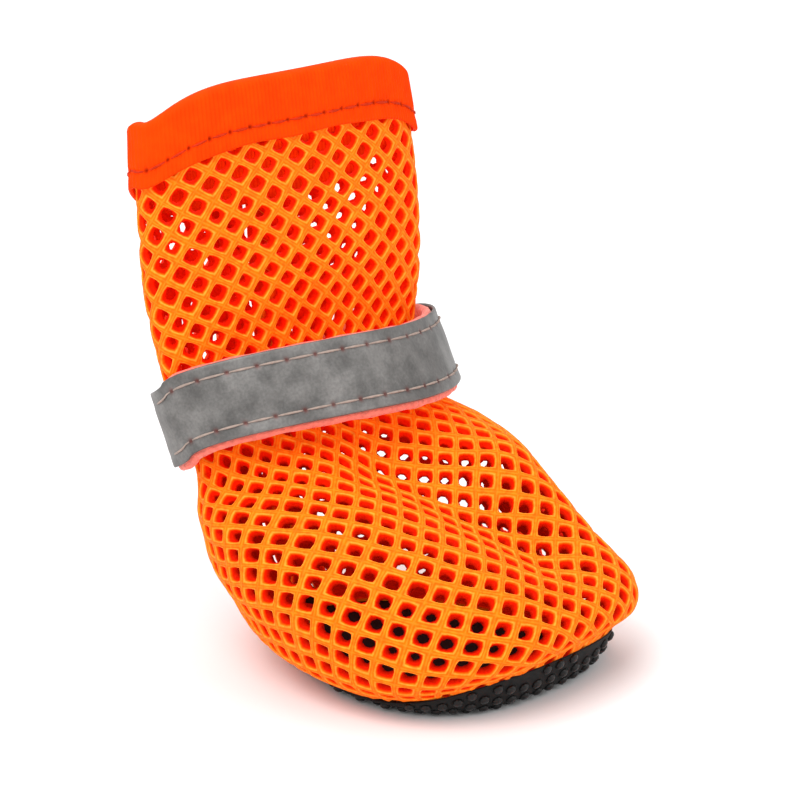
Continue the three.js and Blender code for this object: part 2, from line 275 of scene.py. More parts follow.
def swept_solid(rings, closed):
    """Points and faces of a closed solid from a (rings, points, 3) array: each ring is joined to the next,
    and the last ring to the first one or, when open, each end ring to a fan about its own middle."""
    count, size = rings.shape[:2]
    quads = grid_quads(count, size, wrap_rows=closed, wrap_columns=True)
    points = rings.reshape(-1, 3)
    if closed:
        return turned_outward(points, quads, np.zeros((0, 3), int))
    ends = np.stack([rings[0].mean(0), rings[-1].mean(0)])
    j = np.arange(size)
    j_next = (j + 1) % size
    first = np.stack([np.full(size, len(points)), j_next, j], axis=1)
    last_row = (count - 1) * size
    last = np.stack([np.full(size, len(points) + 1), last_row + j, last_row + j_next], axis=1)
    return turned_outward(np.vstack([points, ends]), quads, np.vstack([first, last]))


def turned_outward(points, quads, triangles):
    """The same solid with its corners in the order that makes its volume positive."""
    split = np.vstack([quads[:, [0, 1, 2]], quads[:, [0, 2, 3]], triangles])
    a, b, c = (points[split[:, k]] for k in range(3))
    if (a * np.cross(b, c)).sum() < 0:
        quads, triangles = quads[:, ::-1], triangles[:, ::-1]
    return points, quads, triangles


def add_mesh(name, points, quads, triangles, material, attributes=None):
    """A smooth-shaded object at the origin from points in the last's frame."""
    mesh = bpy.data.meshes.new(name)
    corners = np.concatenate([quads.ravel(), triangles.ravel()]).astype(np.int32)
    totals = np.concatenate([np.full(len(quads), 4), np.full(len(triangles), 3)]).astype(np.int32)
    starts = np.concatenate([[0], np.cumsum(totals)[:-1]]).astype(np.int32)
    mesh.vertices.add(len(points))
    mesh.loops.add(len(corners))
    mesh.polygons.add(len(totals))
    mesh.vertices.foreach_set("co", ((points + SHIFT) * MM).astype(np.float32).ravel())
    mesh.loops.foreach_set("vertex_index", corners)
    mesh.polygons.foreach_set("loop_start", starts)
    mesh.update(calc_edges=True)
    mesh.validate()
    mesh.polygons.foreach_set("use_smooth", np.ones(len(mesh.polygons), bool))
    for key, values in (attributes or {}).items():
        layer = mesh.attributes.new(key, "FLOAT", "POINT")
        layer.data.foreach_set("value", values.astype(np.float32).ravel())
    mesh.materials.append(material)
    piece = bpy.data.objects.new(name, mesh)
    bpy.context.scene.collection.objects.link(piece)
    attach(piece, "root")
    return piece


def merge(parts):
    """One set of points, quads and triangles from several."""
    points, quads, triangles, base = [], [], [], 0
    for part in parts:
        points.append(part[0])
        quads.append(part[1] + base)
        triangles.append(part[2] + base)
        base += len(part[0])
    return np.vstack(points), np.vstack(quads), np.vstack(triangles)


def smooth_step(value):
    """0 below 0, 1 above 1, with level ends in between."""
    value = np.clip(value, 0, 1)
    return value * value * (3 - 2 * value)


def ease(value, band):
    """smooth_step of a value over a band, given as where it begins and how wide it is."""
    return smooth_step((value - band[0]) / band[1])


# --- Materials ---

NOISE_BAND = (0.35, 0.65)  # where a noise goes from its low colour to its high one
PAINTED_GLOW = 0.14  # painted glow: emission that stands in for light let through by the open yarn


def noise_height(nodes, links, scale, detail, place):
    """The grey of a Noise texture, with its scale in waves per metre."""
    noise = nodes.new("ShaderNodeTexNoise")
    noise.inputs["Scale"].default_value = scale
    noise.inputs["Detail"].default_value = detail
    links.new(place, noise.inputs["Vector"])
    return noise.outputs["Fac"]


def colour_ramp(nodes, links, factor, stops):
    """A colour from a grey, by rising (position, colour) stops."""
    ramp = nodes.new("ShaderNodeValToRGB")
    elements = ramp.color_ramp.elements
    given = len(elements)
    for index, (position, colour) in enumerate(stops):
        element = elements[index] if index < given else elements.new(position)
        element.position = position
        element.color = (*colour, 1)
    links.new(factor, ramp.inputs["Fac"])
    return ramp.outputs["Color"]


def noise_colour(nodes, links, scale, detail, low, high, place):
    """A Noise texture that blends two colours, and its grey."""
    height = noise_height(nodes, links, scale, detail, place)
    return colour_ramp(nodes, links, height, zip(NOISE_BAND, (low, high))), height


def start_material(name):
    """An empty Principled material with its nodes, links, shader and Object coordinates."""
    material = bpy.data.materials.new(name)
    material.use_nodes = True
    nodes, links = material.node_tree.nodes, material.node_tree.links
    shader = nodes["Principled BSDF"]
    place = nodes.new("ShaderNodeTexCoord").outputs["Object"]
    return material, nodes, links, shader, place


def add_bump(nodes, links, shader, height, strength, distance):
    """A Bump node from a height to the shader's normal."""
    bump = nodes.new("ShaderNodeBump")
    bump.inputs["Strength"].default_value = strength
    bump.inputs["Distance"].default_value = distance
    links.new(height, bump.inputs["Height"])
    links.new(bump.outputs["Normal"], shader.inputs["Normal"])


def set_inputs(shader, **values):
    """Sets a shader's inputs; an underscore in a name stands for a space."""
    for name, value in values.items():
        shader.inputs[name.replace("_", " ")].default_value = value


def shade(colour, factor):
    """A colour made lighter or darker."""
    return tuple(channel * factor for channel in colour)


COLOUR_A, COLOUR_B, COLOUR_RESULT = 6, 7, 2  # the colour sockets of a Mix node


def mark(nodes, links, factor, base, dark):
    """A colour socket with marks of a dark colour where a grey is 1."""
    mix = nodes.new("ShaderNodeMix")
    mix.data_type = "RGBA"
    links.new(factor, mix.inputs["Factor"])
    links.new(base, mix.inputs[COLOUR_A])
    mix.inputs[COLOUR_B].default_value = (*dark, 1)
    return mix.outputs[COLOUR_RESULT]


def multiply(nodes, links, first, second):
    """The product of two colour sockets."""
    mix = nodes.new("ShaderNodeMix")
    mix.data_type, mix.blend_type = "RGBA", "MULTIPLY"
    mix.inputs["Factor"].default_value = 1.0
    links.new(first, mix.inputs[COLOUR_A])
    links.new(second, mix.inputs[COLOUR_B])
    return mix.outputs[COLOUR_RESULT]


def attribute(nodes, name):
    """The values of a mesh attribute."""
    node = nodes.new("ShaderNodeAttribute")
    node.attribute_name = name
    return node.outputs["Fac"]


def knit_material(name, crest, flank, wall):
    """Knitted strands with light and shade painted into the yarn's colour by the "crest" attribute: a painted
    highlight along the crests, the yarn's deeper orange on the flanks, painted shade deep inside the holes,
    and the deepest painted shade on the inner side of the foot, where little light falls."""
    material, nodes, links, shader, place = start_material(name)
    # Painted light ramp: deepest painted shade at 0, the hole walls' painted shade, the flank colour, then
    # the crests' painted highlight.
    stops = ((0.0, shade(wall, INNER_SHADE)), (INNER_SHAFT, wall), (FLANK_STOP, flank), (CREST_STOP, crest))
    yarn = colour_ramp(nodes, links, attribute(nodes, "crest"), stops)
    speck, _ = noise_colour(nodes, links, 1500, 3, (0.84, 0.66, 0.60), (1.0, 1.0, 1.0), place)
    colour = multiply(nodes, links, yarn, speck)
    links.new(colour, shader.inputs["Base Color"])
    # Painted glow: the same colour, painted highlight and shade included, is given off as emission.
    links.new(colour, shader.inputs["Emission Color"])
    add_bump(nodes, links, shader, noise_height(nodes, links, 1900, 3, place), 0.6, 0.0003)
    set_inputs(shader, Roughness=0.6, Specular_IOR_Level=0.04, Emission_Strength=PAINTED_GLOW)
    return material


def tape_material(name, colour, dark):
    """Woven tape: fine threads and the dark marks of needle holes from the "hole" attribute."""
    material, nodes, links, shader, place = start_material(name)
    base, _ = noise_colour(nodes, links, 420, 6, shade(colour, 0.80), colour, place)
    links.new(mark(nodes, links, attribute(nodes, "hole"), base, dark), shader.inputs["Base Color"])
    add_bump(nodes, links, shader, noise_height(nodes, links, 4200, 2, place), 0.3, 0.0001)
    set_inputs(shader, Roughness=0.7, Specular_IOR_Level=0.04)
    return material


def thread_material(name, colour):
    """Twisted sewing thread with a slight lustre."""
    material, nodes, links, shader, place = start_material(name)
    base, height = noise_colour(nodes, links, 1500, 2, shade(colour, 0.8), colour, place)
    links.new(base, shader.inputs["Base Color"])
    add_bump(nodes, links, shader, height, 0.3, 0.00008)
    set_inputs(shader, Roughness=0.6, Specular_IOR_Level=0.1)
    return material


# --- The net of the upper ---

FLAT_ROWS = 45
FLAT_COLUMNS = 61
FLAT_ROUNDS = 160
ALLOWANCE = 7.0  # fabric turned inward over the sole, millimetres
ALLOWANCE_LEVELS = 0.115  # the same, as levels below 0
NET_SIDE_POINTS = 3  # points along one side of a net cell

# The section of half a strand in rows of (share of the way from the border to the hole's rim, depth below
# the crest as a share of the thickness, painted light: near 1 a painted highlight, near 0 painted shade).
# Past a share of 1 it turns in under the rim.
STRAND = (
    (0.34, 0.00, 0.58),
    (0.64, 0.06, 1.00),
    (0.80, 0.20, 0.52),
    (0.92, 0.42, 0.20),
    (1.15, 0.74, 0.02),
    (1.40, 0.96, 0.00),
)
CREST = 0.74  # painted highlight level on the borders between cells
INNER_SHAFT = 0.30  # painted light on the strands' inner side in the shaft; in the foot it is 0, the deepest painted shade
INNER_SHADE = 0.6  # painted shade: how much darker the inner side of the foot is painted than the shaft's
INNER_RISE = (0.46, 0.12)  # level where the one begins to give way to the other, and over how much
FLANK_STOP = 0.62  # painted light level at which the yarn takes the flank's colour
CREST_STOP = 0.97  # painted light level at which the yarn takes the crest's painted highlight colour

HOLE_POWER = 3.2  # of the superellipse, so 2 is round and more is squarer
HOLE_SPREAD = (0.07, 0.14)  # how uneven the holes' sizes are: spread and limit, as shares
SHIFT_SPREAD = (0.07, 1.5)  # how far holes stray: spread in mm and limit in spreads
PRESSED = (0.7, 0.02)  # how far holes close where the fabric is turned in, and over which levels
PRESSED_SHARE = (0.3, 0.6)  # share of the strand where that closing begins, and over how much
BOUND = (0.86, 0.03)  # level where the net thins under the collar binding, and over how much
TURNED = (0.05, 0.06)  # level where it begins to thin towards the sole seam, and over how much
THINNING = 0.36  # share of the thickness that it loses there
TOP_LEVEL = 0.994  # levels and ways past which the net has no cells
BACK_MARGIN = 0.001
WOBBLE = 0.16  # millimetres that the lines of the net stray
WOBBLE_WAVES = (8.0, 9.0)  # length of those waves across and along

# The slack fabric is turned in its own plane over the toe: degrees, middle and reach on the flat sheet.
TOE_TURN = -16.0
TOE_TURN_MIDDLE = (-24.0, 22.0)
TOE_TURN_REACH = 13.0


def flatten(points):
    """Unrolls a (rows, columns, 3) sheet to the plane as rigidly as possible: each triangle is turned to
    its best fit (local step), then all corners are solved together from those turns (global step), many
    times. The weights are the cotangents of the triangles' corners."""
    rows, columns = points.shape[:2]
    quads = grid_quads(rows, columns)
    triangles = np.vstack([quads[:, [0, 1, 2]], quads[:, [0, 2, 3]]])
    flat_points = points.reshape(-1, 3)
    corner = flat_points[triangles]
    edge_x = corner[:, 1] - corner[:, 0]
    edge_y = corner[:, 2] - corner[:, 0]
    length = np.linalg.norm(edge_x, axis=1)
    x_axis = edge_x / length[:, None]
    along = (edge_y * x_axis).sum(1)
    height = np.sqrt(np.maximum((edge_y**2).sum(1) - along**2, 1e-9))
    local = np.zeros((len(triangles), 3, 2))
    local[:, 1, 0] = length
    local[:, 2, 0], local[:, 2, 1] = along, height
    cotangents = np.zeros((len(triangles), 3))
    for k in range(3):
        a = local[:, (k + 1) % 3] - local[:, k]
        b = local[:, (k + 2) % 3] - local[:, k]
        cotangents[:, k] = (a * b).sum(1) / np.abs(a[:, 0] * b[:, 1] - a[:, 1] * b[:, 0])
    count = rows * columns
    matrix = np.zeros((count, count))
    for k in range(3):
        i, j, weight = triangles[:, (k + 1) % 3], triangles[:, (k + 2) % 3], cotangents[:, k]
        np.add.at(matrix, (i, j), -weight)
        np.add.at(matrix, (j, i), -weight)
        np.add.at(matrix, (i, i), weight)
        np.add.at(matrix, (j, j), weight)
    matrix[0, 0] += 1.0
    inverse = np.linalg.inv(matrix)
    middle = columns // 2
    ring = run_lengths(points, axis=1)
    ring -= ring[:, middle : middle + 1]
    front = run_lengths(points[:, middle])
    flat = np.stack([ring, np.repeat(front[:, None], columns, axis=1)], axis=2).reshape(-1, 2)
    for _ in range(FLAT_ROUNDS):
        spin = np.zeros((len(triangles), 2))
        for k in range(3):
            i, j, weight = (k + 1) % 3, (k + 2) % 3, cotangents[:, k]
            real = flat[triangles[:, i]] - flat[triangles[:, j]]
            rest = local[:, i] - local[:, j]
            spin[:, 0] += weight * (real * rest).sum(1)
            spin[:, 1] += weight * (real[:, 1] * rest[:, 0] - real[:, 0] * rest[:, 1])
        spin /= np.linalg.norm(spin, axis=1, keepdims=True)
        cosine, sine = spin[:, :1], spin[:, 1:]
        target = np.zeros((count, 2))
        for k in range(3):
            i, j, weight = (k + 1) % 3, (k + 2) % 3, cotangents[:, k : k + 1]
            rest = local[:, i] - local[:, j]
            rest_x, rest_y = rest[:, :1], rest[:, 1:]
            turned = np.hstack([cosine * rest_x - sine * rest_y, sine * rest_x + cosine * rest_y])
            np.add.at(target, triangles[:, i], weight * turned)
            np.add.at(target, triangles[:, j], -weight * turned)
        flat = inverse @ target
    flat = flat.reshape(rows, columns, 2)
    rise = flat[-1, middle] - flat[0, middle]
    rise /= np.linalg.norm(rise)
    turn = np.array([[rise[1], rise[0]], [-rise[0], rise[1]]])
    return (flat - flat[0, middle]) @ turn


def refine(grid, rows, columns):
    """A grid read again at more rows and columns, by Catmull-Rom curves along both directions."""
    for axis, count in ((0, rows), (1, columns)):
        moved = np.moveaxis(grid, axis, 0)
        fine = catmull_rom(moved, np.linspace(0, len(moved) - 1, count))
        grid = np.moveaxis(fine, 0, axis)
    return grid


class Fabric:
    """The upper as one flat sheet cut at the centre back. Its chart is a (rows, columns) grid over level,
    from below 0 to 1, and over the way round from the cut; it holds flat places, faces and normals."""

    rows_above = 240
    columns = 401
    edge_rows = 12  # rows above the seam whose direction the turned-in edge goes on in
    softening = 3  # rounds that round the fabric's turn at the seam
    soft_rows = 6  # rows above the seam that they reach
    longest_step = 0.05  # of one Newton step, in chart places
    margin = 0.03  # how far past the chart's edges a place may lie
    least_area = 1e-3  # below which a chart cell counts as folded

    def __init__(self):
        level = np.linspace(0, 1, FLAT_ROWS)
        way = np.linspace(0, 1, FLAT_COLUMNS)
        coarse = sample(FACE, *np.meshgrid(way + 0.5, level))
        flat = refine(flatten(coarse), self.rows_above + 1, self.columns)
        step = 1 / self.rows_above
        below = int(round(ALLOWANCE_LEVELS / step))
        slope = (flat[self.edge_rows] - flat[0]) / self.edge_rows
        under = flat[0] - slope * np.arange(below, 0, -1)[:, None, None]
        self.lowest = -below * step
        self.flat = np.concatenate([under, flat])
        self.level = np.linspace(self.lowest, 1, self.flat.shape[0])
        share = np.linspace(0, 1, self.columns) + 0.5
        wall = sample(FACE, *np.meshgrid(share, np.linspace(0, 1, self.rows_above + 1)))
        turned = turned_allowance(share, -self.level[:below] / ALLOWANCE_LEVELS * ALLOWANCE)
        self.face = np.concatenate([turned, wall])
        soft = self.face.copy()
        for _ in range(self.softening):
            soft[1:-1] = (soft[:-2] + 2 * soft[1:-1] + soft[2:]) / 4
        softened = below + self.soft_rows
        self.face[:softened] = soft[:softened]
        self.normal = grid_normals(self.face, False)
        self.slopes = np.concatenate(
            [
                np.gradient(self.flat, axis=1) * (self.columns - 1),
                np.gradient(self.flat, axis=0) / step,
            ],
            axis=2,
        )

    def read(self, grid, way, level):
        """Bilinear reading of one of the chart's grids; past an edge it goes on straight."""
        rows, columns = grid.shape[0] - 1, grid.shape[1] - 1
        x = way * columns
        y = (level - self.lowest) / (1 - self.lowest) * rows
        j = np.clip(x.astype(int), 0, columns - 1)
        i = np.clip(y.astype(int), 0, rows - 1)
        return bilinear(grid, i, j, j + 1, y - i, x - j)

    def find(self, flat, way, level, rounds=10):
        """The chart places of flat points by Newton's steps from given starts, and how far off they end."""
        for _ in range(rounds):
            miss = flat - self.read(self.flat, way, level)
            slope = self.read(self.slopes, way, level)
            x_way, y_way, x_level, y_level = (slope[..., k] for k in range(4))
            area = x_way * y_level - y_way * x_level
            area = np.where(np.abs(area) < self.least_area, self.least_area, area)
            way_step = (miss[..., 0] * y_level - miss[..., 1] * x_level) / area
            level_step = (miss[..., 1] * x_way - miss[..., 0] * y_way) / area
            way = way + np.clip(way_step, -self.longest_step, self.longest_step)
            level = level + np.clip(level_step, -self.longest_step, self.longest_step)
            way = np.clip(way, -self.margin, 1 + self.margin)
            level = np.clip(level, self.lowest - self.margin, 1 + self.margin)
        return way, level, np.linalg.norm(flat - self.read(self.flat, way, level), axis=-1)


def seam_heights(angle, inset):
    """Heights of the sole sheet's under face and top face at an inset from the seam, round the outline."""
    rim = section_point(seam_section(), angle)[..., 2]
    roll = np.clip(1 - inset / SOLE_ROLL, 0, 1) ** 2
    under = DOT_HEIGHT + (rim - DOT_HEIGHT - SOLE_DROP) * roll
    thickening = (SOLE_SHEET - SOLE_EDGE_THICKNESS) * smooth_step(inset / SOLE_THICKENING)
    return under, under + SOLE_EDGE_THICKNESS + thickening


def turned_allowance(share, inset):
    """The fabric turned in over the sole: the seam's line moved inward and laid on the sole's top face."""
    angle = np.append(even_angles(np.array([0.0]), FACE_SHARES)[0], 2 * math.pi)
    angle = np.interp(np.mod(share, 1) * FACE_SHARES, np.arange(FACE_SHARES + 1), angle)
    rows = []
    for distance in inset:
        point = section_point(seam_section(), angle, distance)
        point[..., 2] = seam_heights(angle, distance)[1] + LAY_CLEARANCE
        rows.append(point)
    return np.array(rows)


LAY_CLEARANCE = 0.1  # between the turned-in fabric and the sole
START_ROWS, START_COLUMNS = 6, 10  # steps of the coarse chart that gives each cell's first place
FIND_ROUNDS = 25  # Newton steps from there
MISS = 0.05  # how far off, in millimetres, a cell's found middle may be
EDGE_MISS = 0.03  # how far off a found place on its border may be
KEY_SPAN = 10000  # more than the number of border points in a line across the net


def net_cells(fabric, pitch):
    """Whole-number places of the net's square cells, whose sides run at 45 degrees to the fabric, with the
    chart place of each cell's middle. Cells with their middle off the fabric are left out."""
    low, high = fabric.flat.reshape(-1, 2).min(0), fabric.flat.reshape(-1, 2).max(0)
    reach = int(np.abs([low, high]).max() * 1.5 / pitch) + 2
    a, b = (index.ravel() for index in np.meshgrid(np.arange(-reach, reach), np.arange(-reach, reach)))
    centre = diagonal(np.stack([a + 0.5, b + 0.5], axis=1) * pitch)
    near = ((centre > low - pitch) & (centre < high + pitch)).all(1)
    a, b, centre = a[near], b[near], centre[near]
    coarse = fabric.flat[::START_ROWS, ::START_COLUMNS]
    rows, columns = coarse.shape[:2]
    gap = ((centre[:, None] - coarse.reshape(1, -1, 2)) ** 2).sum(2)
    best = gap.argmin(1)
    way = (best % columns) / (columns - 1)
    level = fabric.lowest + (best // columns) / (rows - 1) * (1 - fabric.lowest)
    way, level, miss = fabric.find(centre, way.astype(float), level, FIND_ROUNDS)
    held = (miss < MISS) & (way > 0) & (way < 1) & (level > fabric.lowest) & (level < TOP_LEVEL)
    return a[held], b[held], way[held], level[held]


def diagonal(points):
    """Points turned by 45 degrees, from the net's own directions to the flat sheet's, then moved by a slight
    wobble and turned over the toe by an angle that fades as exp(-d^2 / (2 reach^2))."""
    half = math.sqrt(0.5)
    x = (points[..., 0] - points[..., 1]) * half
    y = (points[..., 0] + points[..., 1]) * half
    stray_x = WOBBLE * ripple(x, y, WOBBLE_WAVES[0], 0.7)
    stray_y = WOBBLE * ripple(y, x, WOBBLE_WAVES[1], 2.1)
    x, y = x + stray_x, y + stray_y
    x_off, y_off = x - TOE_TURN_MIDDLE[0], y - TOE_TURN_MIDDLE[1]
    turn = math.radians(TOE_TURN) * np.exp(-(x_off**2 + y_off**2) / (2 * TOE_TURN_REACH**2))
    cosine, sine = np.cos(turn), np.sin(turn)
    turned_x = TOE_TURN_MIDDLE[0] + cosine * x_off - sine * y_off
    turned_y = TOE_TURN_MIDDLE[1] + sine * x_off + cosine * y_off
    return np.stack([turned_x, turned_y], axis=-1)


def make_net(fabric, pitch, hole, thickness):
    """The knitted net: square cells that share their borders, the crests of the strands, each with a rounded
    square hole |x|^n + |y|^n = half^n. Loops of points run from the border round the strand to its
    underside, as the table of the strand's section says. Loose edges are closed by a wall."""
    a, b, way, level = net_cells(fabric, pitch)
    side = NET_SIDE_POINTS
    run = np.arange(side)
    border = np.concatenate([
        np.stack([run, 0 * run], axis=1),
        np.stack([0 * run + side, run], axis=1),
        np.stack([side - run, 0 * run + side], axis=1),
        np.stack([0 * run, side - run], axis=1),
    ])
    centred = border / side - 0.5
    angle = np.arctan2(centred[:, 1], centred[:, 0])
    reach = np.abs(np.cos(angle)) ** HOLE_POWER + np.abs(np.sin(angle)) ** HOLE_POWER
    radius = hole / 2 * reach ** (-1 / HOLE_POWER)
    rim = np.stack([np.cos(angle), np.sin(angle)], axis=1) * radius[:, None]
    corner = np.stack([a, b], axis=1)
    middle = (corner + 0.5) * pitch
    size = len(border)

    def chart(points):
        """Chart places of one loop of every cell, from the cell's middle."""
        start = np.repeat(way[:, None], size, axis=1), np.repeat(level[:, None], size, axis=1)
        return fabric.find(diagonal(points), *start)

    edge_way, edge_level, miss = chart(middle[:, None] + centred[None] * pitch)
    inside = (miss < EDGE_MISS) & (edge_way > BACK_MARGIN) & (edge_way < 1 - BACK_MARGIN)
    inside &= (edge_level > fabric.lowest) & (edge_level < TOP_LEVEL)
    keep = inside.all(1)
    corner, middle, way, level = corner[keep], middle[keep], way[keep], level[keep]
    edge_way, edge_level = edge_way[keep], edge_level[keep]
    keys = corner[:, None] * side + border[None]
    flat_keys = keys[..., 0] * KEY_SPAN + keys[..., 1]
    _, first, border_id = np.unique(flat_keys.ravel(), return_index=True, return_inverse=True)
    border_id = border_id.reshape(flat_keys.shape)
    borders = len(first)

    uneven = np.random.default_rng(11)
    spread, limit = HOLE_SPREAD
    scale = 1 + np.clip(spread * uneven.standard_normal(len(corner)), -limit, limit)
    spread, limit = SHIFT_SPREAD
    shift = spread * np.clip(uneven.standard_normal((len(corner), 2)), -limit, limit)
    pressed = PRESSED[0] * smooth_step(-level / PRESSED[1])

    def loop_shape(share):
        """One loop of every cell about its middle: uneven holes that close where the fabric is turned in."""
        shape = centred[None] * pitch * (1 - share) + rim[None] * (share * scale)[:, None, None]
        shape = shape * (1 - pressed * ease(share, PRESSED_SHARE))[:, None, None]
        return shape + (shift * min(share, 1.0))[:, None]

    def place(chart_way, chart_level, depth):
        """Points below the crest, in shares of the strand's thickness."""
        bound = ease(chart_level, BOUND)
        turned = smooth_step((TURNED[0] - chart_level) / TURNED[1])
        thin = 1 - THINNING * np.maximum(bound, turned)
        point = fabric.read(fabric.face, chart_way, chart_level)
        normal = fabric.read(fabric.normal, chart_way, chart_level)
        normal /= np.linalg.norm(normal, axis=-1, keepdims=True)
        return point - normal * (depth * thickness * thin)[..., None]

    top = place(edge_way.ravel()[first], edge_level.ravel()[first], np.zeros(borders))
    bottom = place(edge_way.ravel()[first], edge_level.ravel()[first], np.ones(borders))
    # Painted shade on the underside: deepest in the foot, lighter in the shaft.
    inner = INNER_SHAFT * ease(edge_level.ravel()[first], INNER_RISE)
    # Painted light at every point, from the strand table: painted highlight on the crests, painted shade down
    # the walls and underneath.
    points, painted_light = [top], [np.full(borders, CREST)]
    cells = len(corner)
    loops = [border_id]
    base = borders
    for share, depth, pale in STRAND:
        loop_way, loop_level, _ = chart(middle[:, None] + loop_shape(share))
        loop = place(loop_way, loop_level, np.full(loop_way.shape, depth))
        points.append(loop.reshape(-1, 3))
        # In the shaft no point is painted darker than the hole wall; in the foot the deepest painted shade is
        # let through.
        painted_light.append(np.maximum(pale, INNER_SHAFT * ease(loop_level, INNER_RISE)).ravel())
        loops.append(base + np.arange(cells * size).reshape(cells, size))
        base += cells * size
    points.append(bottom)
    painted_light.append(inner)
    loops.append(base + border_id)
    quads = []
    for outer, inner in zip(loops, loops[1:]):
        quads.append(
            np.stack([outer, np.roll(outer, -1, 1), np.roll(inner, -1, 1), inner], axis=2).reshape(-1, 4)
        )
    start, end = border_id.ravel(), np.roll(border_id, -1, 1).ravel()
    edge = np.minimum(start, end) * borders + np.maximum(start, end)
    _, where, count = np.unique(edge, return_index=True, return_counts=True)
    lone = where[count == 1]
    quads.append(np.stack([end[lone], start[lone], start[lone] + base, end[lone] + base], axis=1))
    return np.vstack(points), np.vstack(quads), np.concatenate(painted_light)


class NetProperties(PropertyGroup):
    """Sizes and yarn colours of the net"""

    pitch: measure("Hole spacing", "Between the middles of holes along a diagonal, in mm", 2.9, 2, 8)
    hole: measure("Hole size", "Across a hole between its flat sides, in mm", 1.8, 0.5, 6)
    thickness: measure("Thickness", "Of the knitted strands, in mm", 1.4, 0.4, 2)
    # Colour of the painted highlight along the crests, with a little of the yarn's own frosted paleness.
    crest: paint("Crest", "Paler yarn along the strands", (1.0, 0.34, 0.035))
    flank: paint("Flank", "Yarn beside the crests", (1.0, 0.165, 0.001))
    # Painted shade: this deep red stands in for the shade and orange bounce light inside the holes.
    wall: paint("Hole wall", "Yarn inside the holes", (0.95, 0.018, 0.0))


class BOOT_OT_net(Operator):
    """Make the net of the upper"""

    bl_idname = "dog_boot.net"
    bl_label = "Upper Net"

    def execute(self, context):
        sizes = context.scene.boot_net
        fabric = Fabric()
        points, quads, painted_light = make_net(fabric, sizes.pitch, sizes.hole, sizes.thickness)
        material = knit_material("knitted_mesh", tuple(sizes.crest), tuple(sizes.flank), tuple(sizes.wall))
        # The "crest" attribute carries the yarn's painted highlight and painted shade.
        piece = add_mesh("upper_net", points, quads, np.zeros((0, 3), int), material, {"crest": painted_light})
        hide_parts("upper")
        return {"FINISHED"}


# --- Tapes, strap and thread: closed bands carried along the face ---

ANGLE_STEP = 0.01  # radians over which the strap's direction is measured
STRAP_MEASURES = 2000  # points that measure its length
STITCH_LIFT = 0.55  # height of a stitch's middle, in thread widths
STITCH_SINK = 0.25  # how deep its ends lie, in thread widths
STITCH_THREAD = 0.36  # width of the binding's thread
TAPE_THREAD = 0.33  # width of the reflective tape's thread
TAPE_STITCH_SHARE = 0.84  # of its pitch that a stitch of the reflective tape takes


def band_grid(along, profile):
    """Grids of the place along a band, across it and out from it: one row for each place along it."""
    rows, columns = len(along), len(profile)
    across = np.repeat(profile[None, :, 0], rows, axis=0)
    out = np.repeat(profile[None, :, 1], rows, axis=0)
    return np.repeat(along[:, None], columns, axis=1), across, out


def rounded_profile(width, thickness, across_steps, edge_steps=3):
    """A flat bar's outline as (across, out) pairs: two faces joined by half-round edges, run from the left of
    the outer face, over it, round the right edge and back along the inner face."""
    radius = thickness / 2
    flat = np.linspace(-1, 1, across_steps) * (width / 2 - radius)
    turn = np.linspace(math.pi / 2, -math.pi / 2, edge_steps + 2)[1:-1]
    right = np.stack([width / 2 - radius + radius * np.cos(turn), radius + radius * np.sin(turn)], axis=1)
    over = np.stack([flat, np.full(across_steps, thickness)], axis=1)
    under = np.stack([flat[::-1], np.zeros(across_steps)], axis=1)
    left = right[::-1] * [-1, 1]
    return np.vstack([over, right, under, left])


def strap_line(angle):
    """The strap's middle line: across, ahead, height and the slope of its width, at angles from the front.
    It is a loop |x|^n + |y|^n = 1. Its height and slope go from the sides to the front and back by
    |cos|^rise; a tilt times the sine and a sway times the sine of twice the angle are added to its height."""
    cosine, sine = np.cos(angle), np.sin(angle)
    power = 2 / STRAP_ROUNDNESS
    share = np.abs(cosine) ** STRAP_RISE
    reach = np.where(cosine > 0, STRAP_FRONT[0], STRAP_BACK[0])
    z_end = np.where(cosine > 0, STRAP_FRONT[1], STRAP_BACK[1])
    slope_end = np.where(cosine > 0, STRAP_FRONT[2], STRAP_BACK[2])
    across = STRAP_HALF_WIDTH * np.sign(sine) * np.abs(sine) ** power
    ahead = reach * np.abs(cosine) ** power
    z = STRAP_SIDE[0] + (z_end - STRAP_SIDE[0]) * share + STRAP_TILT * sine + STRAP_SWAY * np.sin(2 * angle)
    slope = np.radians(STRAP_SIDE[1] + (slope_end - STRAP_SIDE[1]) * share)
    return across, ahead, z, slope


def strap_point(degrees, height, out):
    """Points of the strap at angles in degrees, heights above its middle line and distances out from its
    inner face; past the ramp the strap lies on its own first turn."""
    angle = np.radians(degrees)
    across, ahead, z, slope = strap_line(angle)
    before, after = strap_line(angle - ANGLE_STEP), strap_line(angle + ANGLE_STEP)
    along = np.stack([after[0] - before[0], before[1] - after[1], after[2] - before[2]], axis=-1)
    upward = np.stack([np.zeros_like(slope), np.sin(slope), np.cos(slope)], axis=-1)
    outward = np.cross(along, upward)
    outward /= np.linalg.norm(outward, axis=-1, keepdims=True)
    lap = np.clip((degrees - LAP_RAMP[0]) / (LAP_RAMP[1] - LAP_RAMP[0]), 0, 1)
    distance = out + lap * (STRAP_THICKNESS + LAP_GAP)
    point = np.stack([across, -ahead, z], axis=-1)
    point += upward * height[..., None] + outward * distance[..., None]
    cosine, sine = math.cos(math.radians(STRAP_TURN)), math.sin(math.radians(STRAP_TURN))
    spin = np.array([[cosine, -sine, 0], [sine, cosine, 0], [0, 0, 1]])
    return point @ spin.T + np.array([STRAP_LEAN, -STRAP_MIDDLE, 0])


